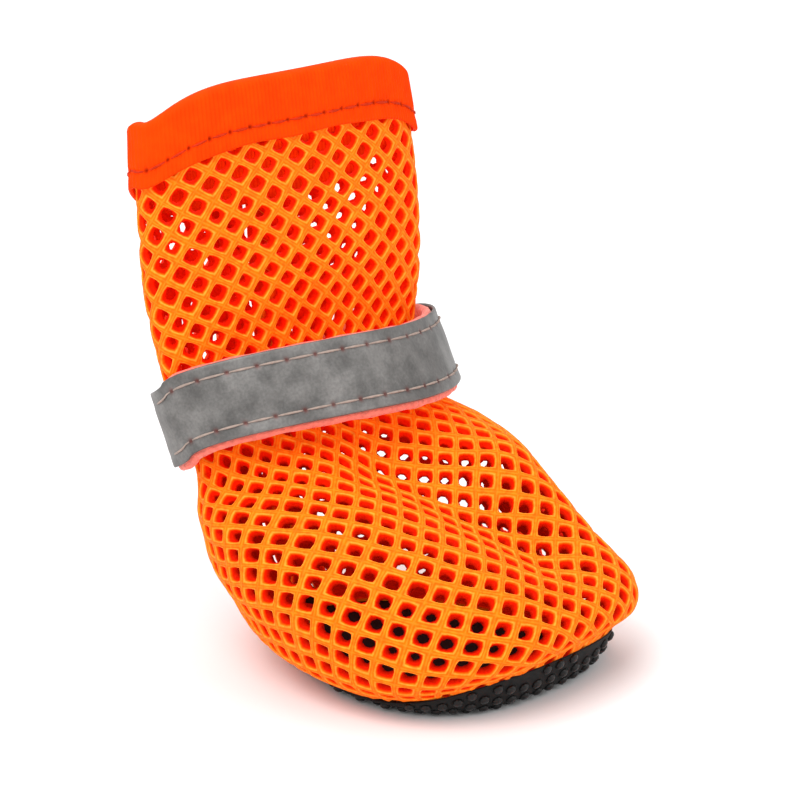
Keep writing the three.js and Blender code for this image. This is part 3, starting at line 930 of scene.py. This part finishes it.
def even_degrees(start, end, count):
    """Strap angles that share its middle line evenly by length, and the length."""
    degrees = np.linspace(start, end, STRAP_MEASURES)
    points = strap_point(degrees, np.zeros(STRAP_MEASURES), np.zeros(STRAP_MEASURES))
    reach = run_lengths(points)
    return np.interp(np.linspace(0, reach[-1], count), reach, degrees), reach[-1]


def ripple(x, y, wavelength, phase):
    """A soft, uneven wave between -1 and 1, from three sines that never line up."""
    turn = 2 * math.pi / wavelength
    return (np.sin(turn * x + phase) + np.sin(turn * 0.61 * x + 1.7 * phase + turn * 0.35 * y)
            + np.sin(turn * 1.37 * y - 0.8 * phase + turn * 0.2 * x)) / 3


def stitch_row(place, length, pitch, thread, share=0.76, sides=6, steps=7):
    """A row of stitches and their middles: each is a thread that rises from one needle hole and dips into
    the next, a circle that is carried along the root of a half sine and swells in its middle. Each takes a
    share of the pitch, and place(along, across, out) puts it on its piece."""
    count = int(length / pitch)
    starts = (length - count * pitch) / 2 + pitch * (np.arange(count) + (1 - share) / 2)
    run = np.linspace(0, 1, steps)
    turn = np.linspace(0, 2 * math.pi, sides, endpoint=False)
    rise = np.sin(math.pi * run) ** 0.5
    radius = thread / 2 * (0.55 + 0.45 * np.sin(math.pi * run))
    along = starts[:, None, None] + (run * pitch * share)[None, :, None] + 0 * turn
    across = radius[None, :, None] * np.cos(turn) + 0 * along
    lift = thread * (STITCH_LIFT * rise - STITCH_SINK)
    out = lift[None, :, None] + radius[None, :, None] * np.sin(turn) + 0 * along
    points = place(along, across, out)
    return merge([swept_solid(stitch, closed=False) for stitch in points]), starts + pitch * share / 2


def needle_holes(along, across, centres, row, size):
    """1 at each needle hole, fading over its size."""
    distance = np.abs(along[..., None] - centres).min(-1)
    return np.exp(-((distance / size) ** 2) - ((across - row) / size) ** 2)


# --- Strap ---

STRAP_THICKNESS = 1.2
STRAP_HEIGHT = 11.4
STRAP_HALF_WIDTH = 22.5
STRAP_MIDDLE = 5.7  # how far forward of the heel its loop's middle lies
STRAP_LEAN = 0.3  # how far to +x
STRAP_TURN = 2.1  # degrees about the upright
STRAP_ROUNDNESS = 1.78  # power n of its loop
STRAP_RISE = 0.73  # power of the cosine in its height
STRAP_TILT = -0.5
STRAP_SWAY = -0.75
STRAP_FRONT = (16.1, 39.15, 26.8)  # reach, height and slope in degrees
STRAP_SIDE = (33.85, 29.2)  # height and slope
STRAP_BACK = (-10.7, 30.1, 18.0)
STRAP_ENDS = (140.0, 570.0)  # degrees from the front
LAP_RAMP = (440.0, 500.0)  # degrees over which it climbs on its first turn
LAP_GAP = 0.4
STRAP_ROWS = 640  # points along the strap
STRAP_WAVE = 0.12  # how far its edges wave
TAPE_REACH = 108.0  # degrees to either side of the front
TAPE_RAISE = 0.3  # above the strap's middle line
TAPE_GAP = 0.3
TAPE_SEAM = 1.7  # from the tape's edge to its stitches
TAPE_SLACK = 0.10  # how far the tape waves in and out
TAPE_ROWS = 420  # points along the tape
TAPE_HOLE = (0.10, 0.012, 0.006)  # colour of its needle holes
TAPE_NEEDLE = 0.34  # reach of a needle hole
TAPE_HOLE_DEPTH = 0.16
TAPE_GROOVE = (0.55, 0.05)  # reach and depth of the groove under the thread
OUTER_SHARE = 0.9  # share of a band's thickness past which a point is on its outer face


class StrapProperties(PropertyGroup):
    """Sizes and colours of the strap and its tape"""

    colour: paint("Webbing", "Colour of the hook-and-loop strap", (1.0, 0.20, 0.14))
    tape: paint("Tape", "Colour of the reflective tape", (0.142, 0.136, 0.130))
    thread: paint("Thread", "Colour of the tape's stitches", (0.37, 0.29, 0.25))
    tape_height: measure("Tape height", "Width of the reflective tape, in mm", 10.4, 4, 12)
    tape_thickness: measure("Tape thickness", "In mm", 0.4, 0.1, 1)
    stitch: measure("Stitch pitch", "Between two stitches, in mm", 3.7, 1, 6)


def pile_material(name, colour):
    """Loop pile: short curled fibres, paler at their tips, with a soft sheen."""
    material, nodes, links, shader, place = start_material(name)
    base, height = noise_colour(nodes, links, 1300, 4, shade(colour, 0.72), colour, place)
    links.new(base, shader.inputs["Base Color"])
    add_bump(nodes, links, shader, height, 0.7, 0.0005)
    set_inputs(shader, Roughness=0.9, Sheen_Weight=0.5, Sheen_Roughness=0.5, Sheen_Tint=(1.0, 0.75, 0.7, 1))
    return material


def reflective_material(name, colour):
    """Glass-bead tape: a fine woven grey with cloudy lights and darks, partly its own mottle and partly
    painted sheen, and dark red needle holes from the "hole" attribute."""
    material, nodes, links, shader, place = start_material(name)
    # Cloudy lights and darks: the tape's own mottle with painted sheen.
    mottle_and_sheen, _ = noise_colour(nodes, links, 260, 8, shade(colour, 0.70), shade(colour, 1.42), place)
    bead, height = noise_colour(nodes, links, 2600, 2, (0.8, 0.8, 0.8), (1.0, 1.0, 1.0), place)
    grey = multiply(nodes, links, mottle_and_sheen, bead)
    links.new(mark(nodes, links, attribute(nodes, "hole"), grey, TAPE_HOLE), shader.inputs["Base Color"])
    add_bump(nodes, links, shader, height, 0.25, 0.00008)
    set_inputs(shader, Metallic=0.35, Roughness=0.46)
    return material


class BOOT_OT_strap(Operator):
    """Make the hook-and-loop strap"""

    bl_idname = "dog_boot.strap"
    bl_label = "Strap"

    def execute(self, context):
        sizes = context.scene.boot_strap
        degrees, _ = even_degrees(*STRAP_ENDS, STRAP_ROWS)
        profile = rounded_profile(STRAP_HEIGHT, STRAP_THICKNESS, 30, 4)
        along, across, out = band_grid(degrees, profile)
        edge = STRAP_WAVE * ripple(along, 0 * along, 13.0, 0.4) * np.sign(across)
        rings = strap_point(along, across + edge, out)
        points, quads, triangles = swept_solid(rings, closed=False)
        material = pile_material("loop_pile", tuple(sizes.colour))
        piece = add_mesh("ankle_strap", points, quads, triangles, material)
        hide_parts("strap")
        return {"FINISHED"}


class BOOT_OT_tape(Operator):
    """Make the reflective tape and its two rows of stitches"""

    bl_idname = "dog_boot.tape"
    bl_label = "Reflective Tape"

    def execute(self, context):
        sizes = context.scene.boot_strap
        degrees, length = even_degrees(360 - TAPE_REACH, 360 + TAPE_REACH, TAPE_ROWS)
        reach = np.linspace(0, length, TAPE_ROWS)
        base = STRAP_THICKNESS + TAPE_GAP
        seam = sizes.tape_height / 2 - TAPE_SEAM

        def place(along, across, out):
            """A point on the tape, from a length along it, a height across it and a distance out."""
            wave = TAPE_SLACK * ripple(along, across, 9.0, 1.1)
            return strap_point(np.interp(along, reach, degrees), across + TAPE_RAISE, base + out + wave)

        profile = rounded_profile(sizes.tape_height, sizes.tape_thickness, 44, 2)
        along, across, out = band_grid(reach, profile)
        threads, hole = [], np.zeros(along.shape)
        for row in (-seam, seam):
            def on_row(along, across, lift, row=row):
                """A point of this row's thread."""
                return place(along, across + row, lift + sizes.tape_thickness)

            thread, middles = stitch_row(on_row, length, sizes.stitch, TAPE_THREAD, TAPE_STITCH_SHARE)
            threads.append(thread)
            needle = needle_holes(along, across, middles + sizes.stitch / 2, row, TAPE_NEEDLE)
            groove = np.exp(-(((across - row) / TAPE_GROOVE[0]) ** 2))
            outer = out > sizes.tape_thickness * OUTER_SHARE
            out = out - outer * (TAPE_HOLE_DEPTH * needle + TAPE_GROOVE[1] * groove)
            hole = np.maximum(hole, needle * outer)
        points, quads, triangles = swept_solid(place(along, across, out), closed=False)
        hole = np.concatenate([hole.ravel(), [0, 0]])
        material = reflective_material("glass_bead_tape", tuple(sizes.tape))
        piece = add_mesh("reflective_tape_sheet", points, quads, triangles, material, {"hole": hole})
        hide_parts("reflective_tape")
        material = thread_material("tape_thread", tuple(sizes.thread))
        stitches = add_mesh("tape_stitches", *merge(threads), material)
        return {"FINISHED"}


# --- Collar binding and back tapes ---

DROP_REACH = 20.0  # length of face below the collar's edge that is measured
DROP_ROWS = 161


def drop_levels():
    """Levels on a grid over the length of face below the collar's edge and the share of the way round."""
    below = run_lengths(FACE[::-1])
    drops, levels = np.linspace(0, DROP_REACH, DROP_ROWS), np.linspace(1, 0, FACE_LEVELS + 1)
    return np.array([np.interp(drops, column, levels) for column in below.T]).T[..., None]


DROP_LEVELS = drop_levels()


def level_at_drop(share, drop):
    """The level that lies a length of fabric below the collar's edge."""
    return sample(DROP_LEVELS, share, drop / DROP_REACH)[..., 0]


class BindingProperties(PropertyGroup):
    """Sizes and colours of the collar binding and the back tapes"""

    colour: paint("Colour", "Colour of the tape", (1.0, 0.055, 0.0))
    thread: paint("Thread", "Colour of the stitches", (0.58, 0.03, 0.004))
    height: measure("Height", "From the fold to the lower edge, in mm", 8.3, 4, 15)
    rib: measure("Rib spacing", "Between two ribs of the tape, in mm", 0.57, 0.3, 2)
    stitch_drop: measure("Stitch drop", "From the fold down to the stitches, in mm", 6.3, 2, 12)
    stitch: measure("Stitch pitch", "Between two stitches, in mm", 2.9, 1, 6)


BINDING_OUT = 0.25  # from the net's crest to the binding
BINDING_THICKNESS = 0.62
BINDING_TOP = 0.9  # from the collar's edge up to the fold
BOUND_NET = 0.75  # the net's thickness under the binding
COLLAR_LEVEL = 0.985  # level from which the direction at the collar's edge is measured
RIB_POINTS = 6  # points along each rib
STITCH_DEPTH = 0.10  # how far the stitches draw the binding in
RIB_DEPTH = 0.055
SLACK = 0.06  # how far the outer leg waves in and out
EDGE_WAVE = 0.18  # how far the lower edges wave up and down
GROOVE_REACH = 0.7  # of the groove under the thread, on the binding and the back tapes
GROOVE_DEPTH = 0.12
NEEDLE = 0.30  # reach of a needle hole
HOLE_DEPTH = 0.2
HOLE_COLOUR = (0.25, 0.004, 0.0)  # of the needle holes


def binding_profile(height):
    """The folded tape's section, as (drop, out) pairs: up its outer leg's face, over the net's edge by half
    an ellipse, down its inner leg's face, round that leg's lower edge, back up its inside and down the
    outer leg's inside to its lower edge. Drops above the collar's edge are negative."""
    outer, inner = BINDING_OUT + BINDING_THICKNESS, -BOUND_NET - BINDING_OUT - BINDING_THICKNESS
    top = -BINDING_TOP
    fall = height + top
    middle, half = (outer + inner) / 2, (outer - inner) / 2
    bend = np.linspace(0, math.pi, 11)
    over = np.stack([top * np.sin(bend), middle + half * np.cos(bend)], axis=1)
    legs = np.linspace(fall, 0.35, 15)
    low = np.linspace(0, math.pi, 5)[1:-1]
    radius = BINDING_THICKNESS / 2
    outer_tip = np.stack([fall + radius * np.sin(low), outer - radius + radius * np.cos(low)], axis=1)
    inner_tip = np.stack([fall + radius * np.sin(low), inner + radius + radius * np.cos(low)], axis=1)
    outer_face = np.stack([legs, np.full(15, outer)], axis=1)
    inner_face = np.stack([legs[::-1], np.full(15, inner)], axis=1)
    inner_legs = np.append(np.linspace(fall, 0.3, 7), -0.25)
    back = np.stack([inner_legs, np.full(8, inner + BINDING_THICKNESS)], axis=1)
    inside = np.stack([inner_legs[::-1], np.full(8, BINDING_OUT)], axis=1)
    return np.vstack([outer_face, over, inner_face, inner_tip[::-1], back, inside, outer_tip[::-1]])


def collar_place(share, drop, out):
    """A point near the collar: below its edge on the face's own line, above it straight on in the same
    direction."""
    level = level_at_drop(share, np.maximum(drop, 0))
    point = upper_point(share, level, out)
    edge = sample(FACE, share, np.ones_like(level))
    below = sample(FACE, share, np.full_like(level, COLLAR_LEVEL))
    rise = edge - below
    rise /= np.linalg.norm(rise, axis=-1, keepdims=True)
    return point + rise * np.maximum(-drop, 0)[..., None]


def collar_length():
    """The length of the collar's edge."""
    return run_lengths(sample(FACE, np.linspace(0, 1, 1000), np.ones(1000)))[-1]


class BOOT_OT_binding(Operator):
    """Make the ribbed tape folded over the collar, with its stitches"""

    bl_idname = "dog_boot.binding"
    bl_label = "Collar Binding"

    def execute(self, context):
        sizes = context.scene.boot_binding
        length = collar_length()
        ribs = int(round(length / sizes.rib))
        share = np.linspace(0, 1, ribs * RIB_POINTS, endpoint=False)
        grid_share, drop, out = band_grid(share, binding_profile(sizes.height))
        reach = grid_share * length
        middle = -BOUND_NET / 2
        rib = RIB_DEPTH * np.cos(2 * math.pi * ribs * grid_share)
        away = np.sign(out - middle)
        outside = np.abs(out - middle) > (BINDING_THICKNESS / 2 + BINDING_OUT + BOUND_NET / 2)
        row = sizes.stitch_drop - BINDING_TOP
        sink = np.exp(-(((drop - row) / GROOVE_REACH) ** 2)) * GROOVE_DEPTH

        def place(along, across, lift):
            """A point on the outer leg; the row begins at the centre back."""
            face = BINDING_OUT + BINDING_THICKNESS - STITCH_DEPTH
            return collar_place(along / length + 0.5, row + across, face + lift)

        thread, middles = stitch_row(place, length, sizes.stitch, STITCH_THREAD)
        from_back = np.mod(reach + length / 2, length)
        needle = needle_holes(from_back, drop, middles + sizes.stitch / 2, row, NEEDLE) * (out > 0)
        slack = SLACK * ripple(reach, drop, 17.0, 0.3) * smooth_step((drop + BINDING_TOP) / 3)
        out = out + np.where(outside, away * (rib - sink - HOLE_DEPTH * needle), 0) + slack * (out > 0)
        drop = drop + EDGE_WAVE * ripple(reach, 0 * reach, 11.0, 2.0) * smooth_step((drop - 5) / 2)
        points, quads, triangles = swept_solid(collar_place(grid_share, drop, out), closed=True)
        material = tape_material("binding_tape", tuple(sizes.colour), HOLE_COLOUR)
        piece = add_mesh("collar_binding_tape", points, quads, triangles, material, {"hole": needle})
        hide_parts("collar_binding")
        material = thread_material("binding_thread", tuple(sizes.thread))
        stitches = add_mesh("binding_stitches", *thread, material)
        return {"FINISHED"}


BACK_TAPE_WIDTH = 6.0
BACK_TAPE_SEAM = 0.25  # from the seam to the tape
BACK_TAPE_THICKNESS = 0.5
BACK_TAPE_OUT = 0.3  # from the net's crest to the tape
BACK_TAPE_START = 0.3  # from the sole seam up to its lower end
BACK_TAPE_TUCK = 1.6  # how far it runs under the binding
BACK_STITCH_DEPTH = 0.06  # how far the stitches draw a tape in
BACK_GROOVE_DEPTH = 0.10
BACK_HOLE_DEPTH = 0.15
BACK_SLACK = 0.08  # how far the tapes wave in and out
BACK_RIB = 0.5  # between two ribs along a tape
BACK_RIB_DEPTH = 0.03
BACK_TAPE_ROWS = 320  # points along each tape
SPAN_SHARES = 6  # shares to either side of the back that measure the face's width there


class BOOT_OT_back_tapes(Operator):
    """Make the two flat tapes beside the centre-back seam, with their stitches"""

    bl_idname = "dog_boot.back_tapes"
    bl_label = "Back Tapes"

    def execute(self, context):
        sizes = context.scene.boot_binding
        climb = run_lengths(FACE[:, FACE_SHARES // 2])
        levels = np.linspace(0, 1, FACE_LEVELS + 1)
        length = climb[-1] - sizes.height + BACK_TAPE_TUCK - BACK_TAPE_START
        chord = FACE[:, FACE_SHARES // 2 + SPAN_SHARES] - FACE[:, FACE_SHARES // 2 - SPAN_SHARES]
        span = np.linalg.norm(chord, axis=1) / (2 * SPAN_SHARES)
        material = tape_material("back_tape", tuple(sizes.colour), HOLE_COLOUR)
        profile = rounded_profile(BACK_TAPE_WIDTH, BACK_TAPE_THICKNESS, 24, 2)
        threads = []
        for name, side in (("left", -1), ("right", 1)):
            def place(along, across, out, side=side):
                """A point on the tape from a height along the seam, a place across it and a distance out."""
                level = np.interp(along + BACK_TAPE_START, climb, levels)
                per_share = np.interp(level, levels, span)
                offset = BACK_TAPE_SEAM + BACK_TAPE_WIDTH / 2 + side * across
                share = 0.5 + side * offset / per_share / FACE_SHARES
                wave = BACK_SLACK * ripple(along, across, 12.0, 1.0 + side)
                return upper_point(share, level, BACK_TAPE_OUT + out + wave)

            def on_row(along, across, lift, place=place):
                """A point of this tape's thread."""
                return place(along, across, lift + BACK_TAPE_THICKNESS - BACK_STITCH_DEPTH)

            along, across, out = band_grid(np.linspace(0, length, BACK_TAPE_ROWS), profile)
            thread, middles = stitch_row(on_row, length, sizes.stitch, STITCH_THREAD)
            threads.append(thread)
            outer = out > BACK_TAPE_THICKNESS * OUTER_SHARE
            needle = needle_holes(along, across, middles + sizes.stitch / 2, 0, NEEDLE) * outer
            groove = np.exp(-((across / GROOVE_REACH) ** 2)) * BACK_GROOVE_DEPTH
            rib = BACK_RIB_DEPTH * np.cos(2 * math.pi * across / BACK_RIB)
            out = out + outer * (rib - groove - BACK_HOLE_DEPTH * needle)
            points, quads, triangles = swept_solid(place(along, across, out), closed=False)
            hole = np.concatenate([needle.ravel(), [0, 0]])
            piece = add_mesh(f"back_tape_strip_{name}", points, quads, triangles, material, {"hole": hole})
            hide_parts(f"back_tape_{name}")
        material = thread_material("back_tape_thread", tuple(sizes.thread))
        stitches = add_mesh("back_tape_stitches", *merge(threads), material)
        return {"FINISHED"}


# --- Outsole ---

SOLE_COLUMNS = 360  # points round the sheet
SOLE_STEP = (0.004, 0.05)  # radians round and mm inward over which the under face's slopes are measured
SOLE_MIDDLE = 17.5  # inset from the seam where the sheet's rings end and its middle is closed
DOT_REACH = 14  # dots to either side of the middle
DOT_ROWS = (-4, 34)  # first row and the one past the last, counted forward from the heel
DOT_SIDES = 10
DOT_RINGS = ((1.0, -0.15), (1.0, 0.12), (0.86, 0.34), (0.5, 0.50))  # shares of a dot's radius, heights


class SoleProperties(PropertyGroup):
    """Sizes and colours of the sole"""

    colour: paint("Colour", "Colour of the sole's fabric", (0.004, 0.004, 0.004))
    dot: paint("Dot", "Colour of the rubber dots", (0.004, 0.004, 0.004))
    dot_width: measure("Dot width", "Across a dot's foot, in mm", 1.45, 0.5, 3)
    pitch_across: measure("Pitch across", "Between dots of a row, in mm", 2.4, 1, 5)
    pitch_along: measure("Pitch along", "Between rows of dots, in mm", 2.05, 1, 5)


def sole_outline(angle, inset):
    """The seam's outline moved inward, seen from above."""
    return section_point(seam_section(), angle, inset)[..., :2]


def sole_point(angle, inset, out):
    """A point of the sole's under face at an inset from the seam, moved out along its normal, which is the
    way inward crossed with the way round."""

    def at(turn, distance):
        """A point of the under face."""
        xy = sole_outline(turn, distance)
        return np.concatenate([xy, seam_heights(turn, distance)[0][..., None]], axis=-1)

    point = at(angle, inset)
    along = at(angle + SOLE_STEP[0], inset) - at(angle - SOLE_STEP[0], inset)
    inward = at(angle, inset + SOLE_STEP[1]) - at(angle, inset - SOLE_STEP[1])
    normal = np.cross(inward, along)
    normal *= -np.sign(normal[..., 2:]) / np.linalg.norm(normal, axis=-1, keepdims=True)
    return point + normal * out[..., None]


def rubber_material(name, colour, roughness):
    """Moulded rubber with faint grain."""
    material, nodes, links, shader, place = start_material(name)
    base, height = noise_colour(nodes, links, 1500, 3, shade(colour, 0.7), shade(colour, 1.3), place)
    links.new(base, shader.inputs["Base Color"])
    add_bump(nodes, links, shader, height, 0.3, 0.0001)
    set_inputs(shader, Roughness=roughness, Specular_IOR_Level=0.3)
    return material


class BOOT_OT_sole(Operator):
    """Make the sole's sheet and its rubber dots"""

    bl_idname = "dog_boot.sole"
    bl_label = "Sole"

    def execute(self, context):
        sizes = context.scene.boot_sole
        angle = even_angles(np.array([0.0]), SOLE_COLUMNS)[0]
        rim = np.linspace(SOLE_EDGE, SOLE_ROLL, 16)
        insets = np.concatenate([rim, np.linspace(SOLE_ROLL + 1, SOLE_MIDDLE, 10)])
        under = np.array([sole_point(angle, np.full_like(angle, d), np.zeros_like(angle)) for d in insets])
        over = under.copy()
        over[:, :, 2] = [seam_heights(angle, d)[1] for d in insets]
        rings = np.concatenate([over[::-1], under]).transpose(1, 0, 2)
        points, quads, _ = swept_solid(rings, closed=True)
        size = rings.shape[1]
        joins_ends = ((quads % size) == 0).any(1) & ((quads % size) == size - 1).any(1)
        quads = quads[~joins_ends]
        top, low = len(points), len(points) + 1
        points = np.vstack([points, rings[:, 0].mean(0), rings[:, -1].mean(0)])
        here = np.arange(SOLE_COLUMNS)
        beside = (here + 1) % SOLE_COLUMNS
        triangles = np.vstack([
            np.stack([np.full(SOLE_COLUMNS, top), here * size, beside * size], axis=1),
            np.stack([np.full(SOLE_COLUMNS, low), beside * size + size - 1, here * size + size - 1], axis=1),
        ])
        material = rubber_material("sole_fabric", tuple(sizes.colour), 0.75)
        sheet = add_mesh("sole_sheet", *turned_outward(points, quads, triangles), material)
        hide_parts("outsole")
        material = rubber_material("rubber_dots", tuple(sizes.dot), 0.28)
        dots = add_mesh("sole_dots", *sole_dots(sizes), material)
        return {"FINISHED"}


def sole_dots(sizes):
    """Domes in staggered rows on the sole laid flat. The rolled rim is unrolled by its own length, so a dot
    past the flat part climbs the rim as far as its distance from the flat part."""
    across = np.arange(-DOT_REACH, DOT_REACH + 1) * sizes.pitch_across
    rows = np.arange(*DOT_ROWS)
    x = (across[None] + (rows[:, None] % 2) * sizes.pitch_across / 2).ravel()
    y = np.repeat(-rows * sizes.pitch_along, len(across))
    angle = np.linspace(0, 2 * math.pi, MEASURES, endpoint=False)
    flat_edge = sole_outline(angle, SOLE_ROLL)
    gap = np.hypot(x[:, None] - flat_edge[None, :, 0], y[:, None] - flat_edge[None, :, 1])
    nearest = gap.argmin(1)
    beyond = gap.min(1)
    before, after = flat_edge[nearest - 1], flat_edge[(nearest + 1) % MEASURES]
    run = after - before
    offset = np.stack([x, y], axis=1) - flat_edge[nearest]
    outside = run[:, 0] * offset[:, 1] - run[:, 1] * offset[:, 0]
    following = np.roll(flat_edge, -1, axis=0)
    turn = np.sign((following[:, 0] * flat_edge[:, 1] - flat_edge[:, 0] * following[:, 1]).sum())
    outside = outside * turn > 0
    insets = np.linspace(SOLE_ROLL, SOLE_EDGE + 0.15, 40)
    chosen = angle[nearest]
    profile = np.array([sole_point(chosen, np.full_like(chosen, d), np.zeros_like(chosen)) for d in insets])
    climb = run_lengths(profile)
    inset = np.array([np.interp(b, c, insets, right=-1) for b, c in zip(beyond, climb.T)])
    good = ~outside | (inset > 0)
    x, y, outside, chosen, inset = x[good], y[good], outside[good], chosen[good], inset[good]
    foot = np.stack([x, y, np.full(len(x), DOT_HEIGHT)], axis=1)
    normal = np.tile([0.0, 0.0, -1.0], (len(x), 1))
    rolled = sole_point(chosen, inset, np.zeros(len(x)))
    lifted = sole_point(chosen, inset, np.ones(len(x))) - rolled
    foot[outside], normal[outside] = rolled[outside], lifted[outside]
    side = np.cross(normal, [0.0, 1.0, 0.0])
    side /= np.linalg.norm(side, axis=1, keepdims=True)
    ahead = np.cross(side, normal)
    round_dot = np.linspace(0, 2 * math.pi, DOT_SIDES, endpoint=False)
    rings = []
    for share, height in DOT_RINGS:
        radius = share * sizes.dot_width / 2
        ring = foot[:, None] + side[:, None] * (np.cos(round_dot) * radius)[None, :, None]
        ring = ring + ahead[:, None] * (np.sin(round_dot) * radius)[None, :, None] + normal[:, None] * height
        rings.append(ring)
    return merge([swept_solid(dot, closed=False) for dot in np.stack(rings, axis=1)])


# --- Stage ---

FLOOR_HALF = 4.0  # metres from the middle of the floor to its sides
WORLD_STRENGTH = 0.75
TARGET = (-0.3, -2.0, 36.0)  # where the camera and lamps point
# name, azimuth and elevation in degrees, distance and size in metres, watts
LAMPS = (
    ("key", -80, 50, 0.9, 0.7, 7.0),
    ("fill", 20, 35, 1.1, 0.9, 3.5),
    ("back", 150, 55, 1.0, 0.8, 3.0),
)


class StageProperties(PropertyGroup):
    """The floor's colour and the camera's place"""

    floor: paint("Floor", "Colour of the floor", (0.86, 0.86, 0.86))
    azimuth: FloatProperty(
        name="Camera azimuth",
        description="Round the boot from its toe",
        subtype="ANGLE",
        default=math.radians(-47),
    )
    elevation: FloatProperty(
        name="Camera elevation",
        description="Above the floor",
        subtype="ANGLE",
        default=math.radians(18.5),
    )
    distance: FloatProperty(
        name="Camera distance",
        description="From the middle of the boot",
        subtype="DISTANCE",
        default=0.54,
    )
    lens: FloatProperty(name="Lens", description="Focal length in mm", default=184)


class BOOT_OT_stage(Operator):
    """Make the floor, the lights and the camera"""

    bl_idname = "dog_boot.stage"
    bl_label = "Stage"

    def execute(self, context):
        stage = context.scene.boot_stage
        scene = context.scene
        mesh = bpy.data.meshes.new("floor")
        corners = [(x * FLOOR_HALF, y * FLOOR_HALF, 0) for x, y in ((-1, -1), (1, -1), (1, 1), (-1, 1))]
        mesh.from_pydata(corners, [], [(0, 1, 2, 3)])
        material, nodes, links, shader, place = start_material("pale_floor")
        colour = tuple(stage.floor)
        base, _ = noise_colour(nodes, links, 6, 2, shade(colour, 0.985), colour, place)
        links.new(base, shader.inputs["Base Color"])
        set_inputs(shader, Roughness=0.9)
        mesh.materials.append(material)
        floor = bpy.data.objects.new("floor", mesh)
        scene.collection.objects.link(floor)

        world = bpy.data.worlds.new("studio")
        world.use_nodes = True
        world.node_tree.nodes["Background"].inputs["Color"].default_value = (1, 1, 1, 1)
        world.node_tree.nodes["Background"].inputs["Strength"].default_value = WORLD_STRENGTH
        scene.world = world

        target = np.array(TARGET) * MM
        for name, azimuth, elevation, distance, size, power in LAMPS:
            light = bpy.data.lights.new(name, "AREA")
            light.energy, light.size = power, size
            lamp = bpy.data.objects.new(name, light)
            scene.collection.objects.link(lamp)
            aim(lamp, target, math.radians(azimuth), math.radians(elevation), distance)

        camera = bpy.data.cameras.new("camera")
        camera.lens = stage.lens
        camera.clip_start, camera.clip_end = 0.01, 20
        eye = bpy.data.objects.new("camera", camera)
        scene.collection.objects.link(eye)
        aim(eye, target, stage.azimuth, stage.elevation, stage.distance)
        scene.camera = eye
        scene.view_settings.view_transform = "Standard"
        return {"FINISHED"}


def aim(thing, target, azimuth, elevation, distance):
    """Stands a camera or lamp round the target and points it there; azimuth 0 is in front of the toe."""
    away = np.array([
        math.sin(azimuth) * math.cos(elevation),
        -math.cos(azimuth) * math.cos(elevation),
        math.sin(elevation),
    ])
    thing.location = target + away * distance
    thing.rotation_euler = (math.pi / 2 - elevation, 0, azimuth)


class BOOT_PT_panel(Panel):
    """Sizes and pieces of the dog boot"""

    bl_label = "Dog Boot"
    bl_idname = "BOOT_PT_panel"
    bl_space_type = "VIEW_3D"
    bl_region_type = "UI"
    bl_category = "Dog Boot"

    def draw(self, context):
        for group, operators in PIECES:
            box = self.layout.box()
            settings = getattr(context.scene, group)
            for key in settings.__annotations__:
                box.prop(settings, key)
            for operator in operators:
                box.operator(operator)


GROUPS = {
    "boot_net": NetProperties,
    "boot_binding": BindingProperties,
    "boot_strap": StrapProperties,
    "boot_sole": SoleProperties,
    "boot_stage": StageProperties,
}
PIECES = (
    ("boot_net", ("dog_boot.net",)),
    ("boot_binding", ("dog_boot.binding", "dog_boot.back_tapes")),
    ("boot_strap", ("dog_boot.strap", "dog_boot.tape")),
    ("boot_sole", ("dog_boot.sole",)),
    ("boot_stage", ("dog_boot.stage",)),
)
OPERATORS = (
    BOOT_OT_stage,
    BOOT_OT_net,
    BOOT_OT_binding,
    BOOT_OT_back_tapes,
    BOOT_OT_strap,
    BOOT_OT_tape,
    BOOT_OT_sole,
)
CLASSES = (*GROUPS.values(), *OPERATORS, BOOT_PT_panel)


def register():
    """Register the classes and hang each group of sizes on the scene."""
    for cls in CLASSES:
        bpy.utils.register_class(cls)
    for name, group in GROUPS.items():
        setattr(bpy.types.Scene, name, PointerProperty(type=group))


def unregister():
    """Take the groups and the classes away again."""
    for name in GROUPS:
        delattr(bpy.types.Scene, name)
    for cls in reversed(CLASSES):
        bpy.utils.unregister_class(cls)


def main():
    """Make every piece."""
    register()
    bpy.ops.dog_boot.stage()
    bpy.ops.dog_boot.sole()
    bpy.ops.dog_boot.net()
    bpy.ops.dog_boot.binding()
    bpy.ops.dog_boot.back_tapes()
    bpy.ops.dog_boot.strap()
    bpy.ops.dog_boot.tape()


if __name__ == "__main__":
    main()
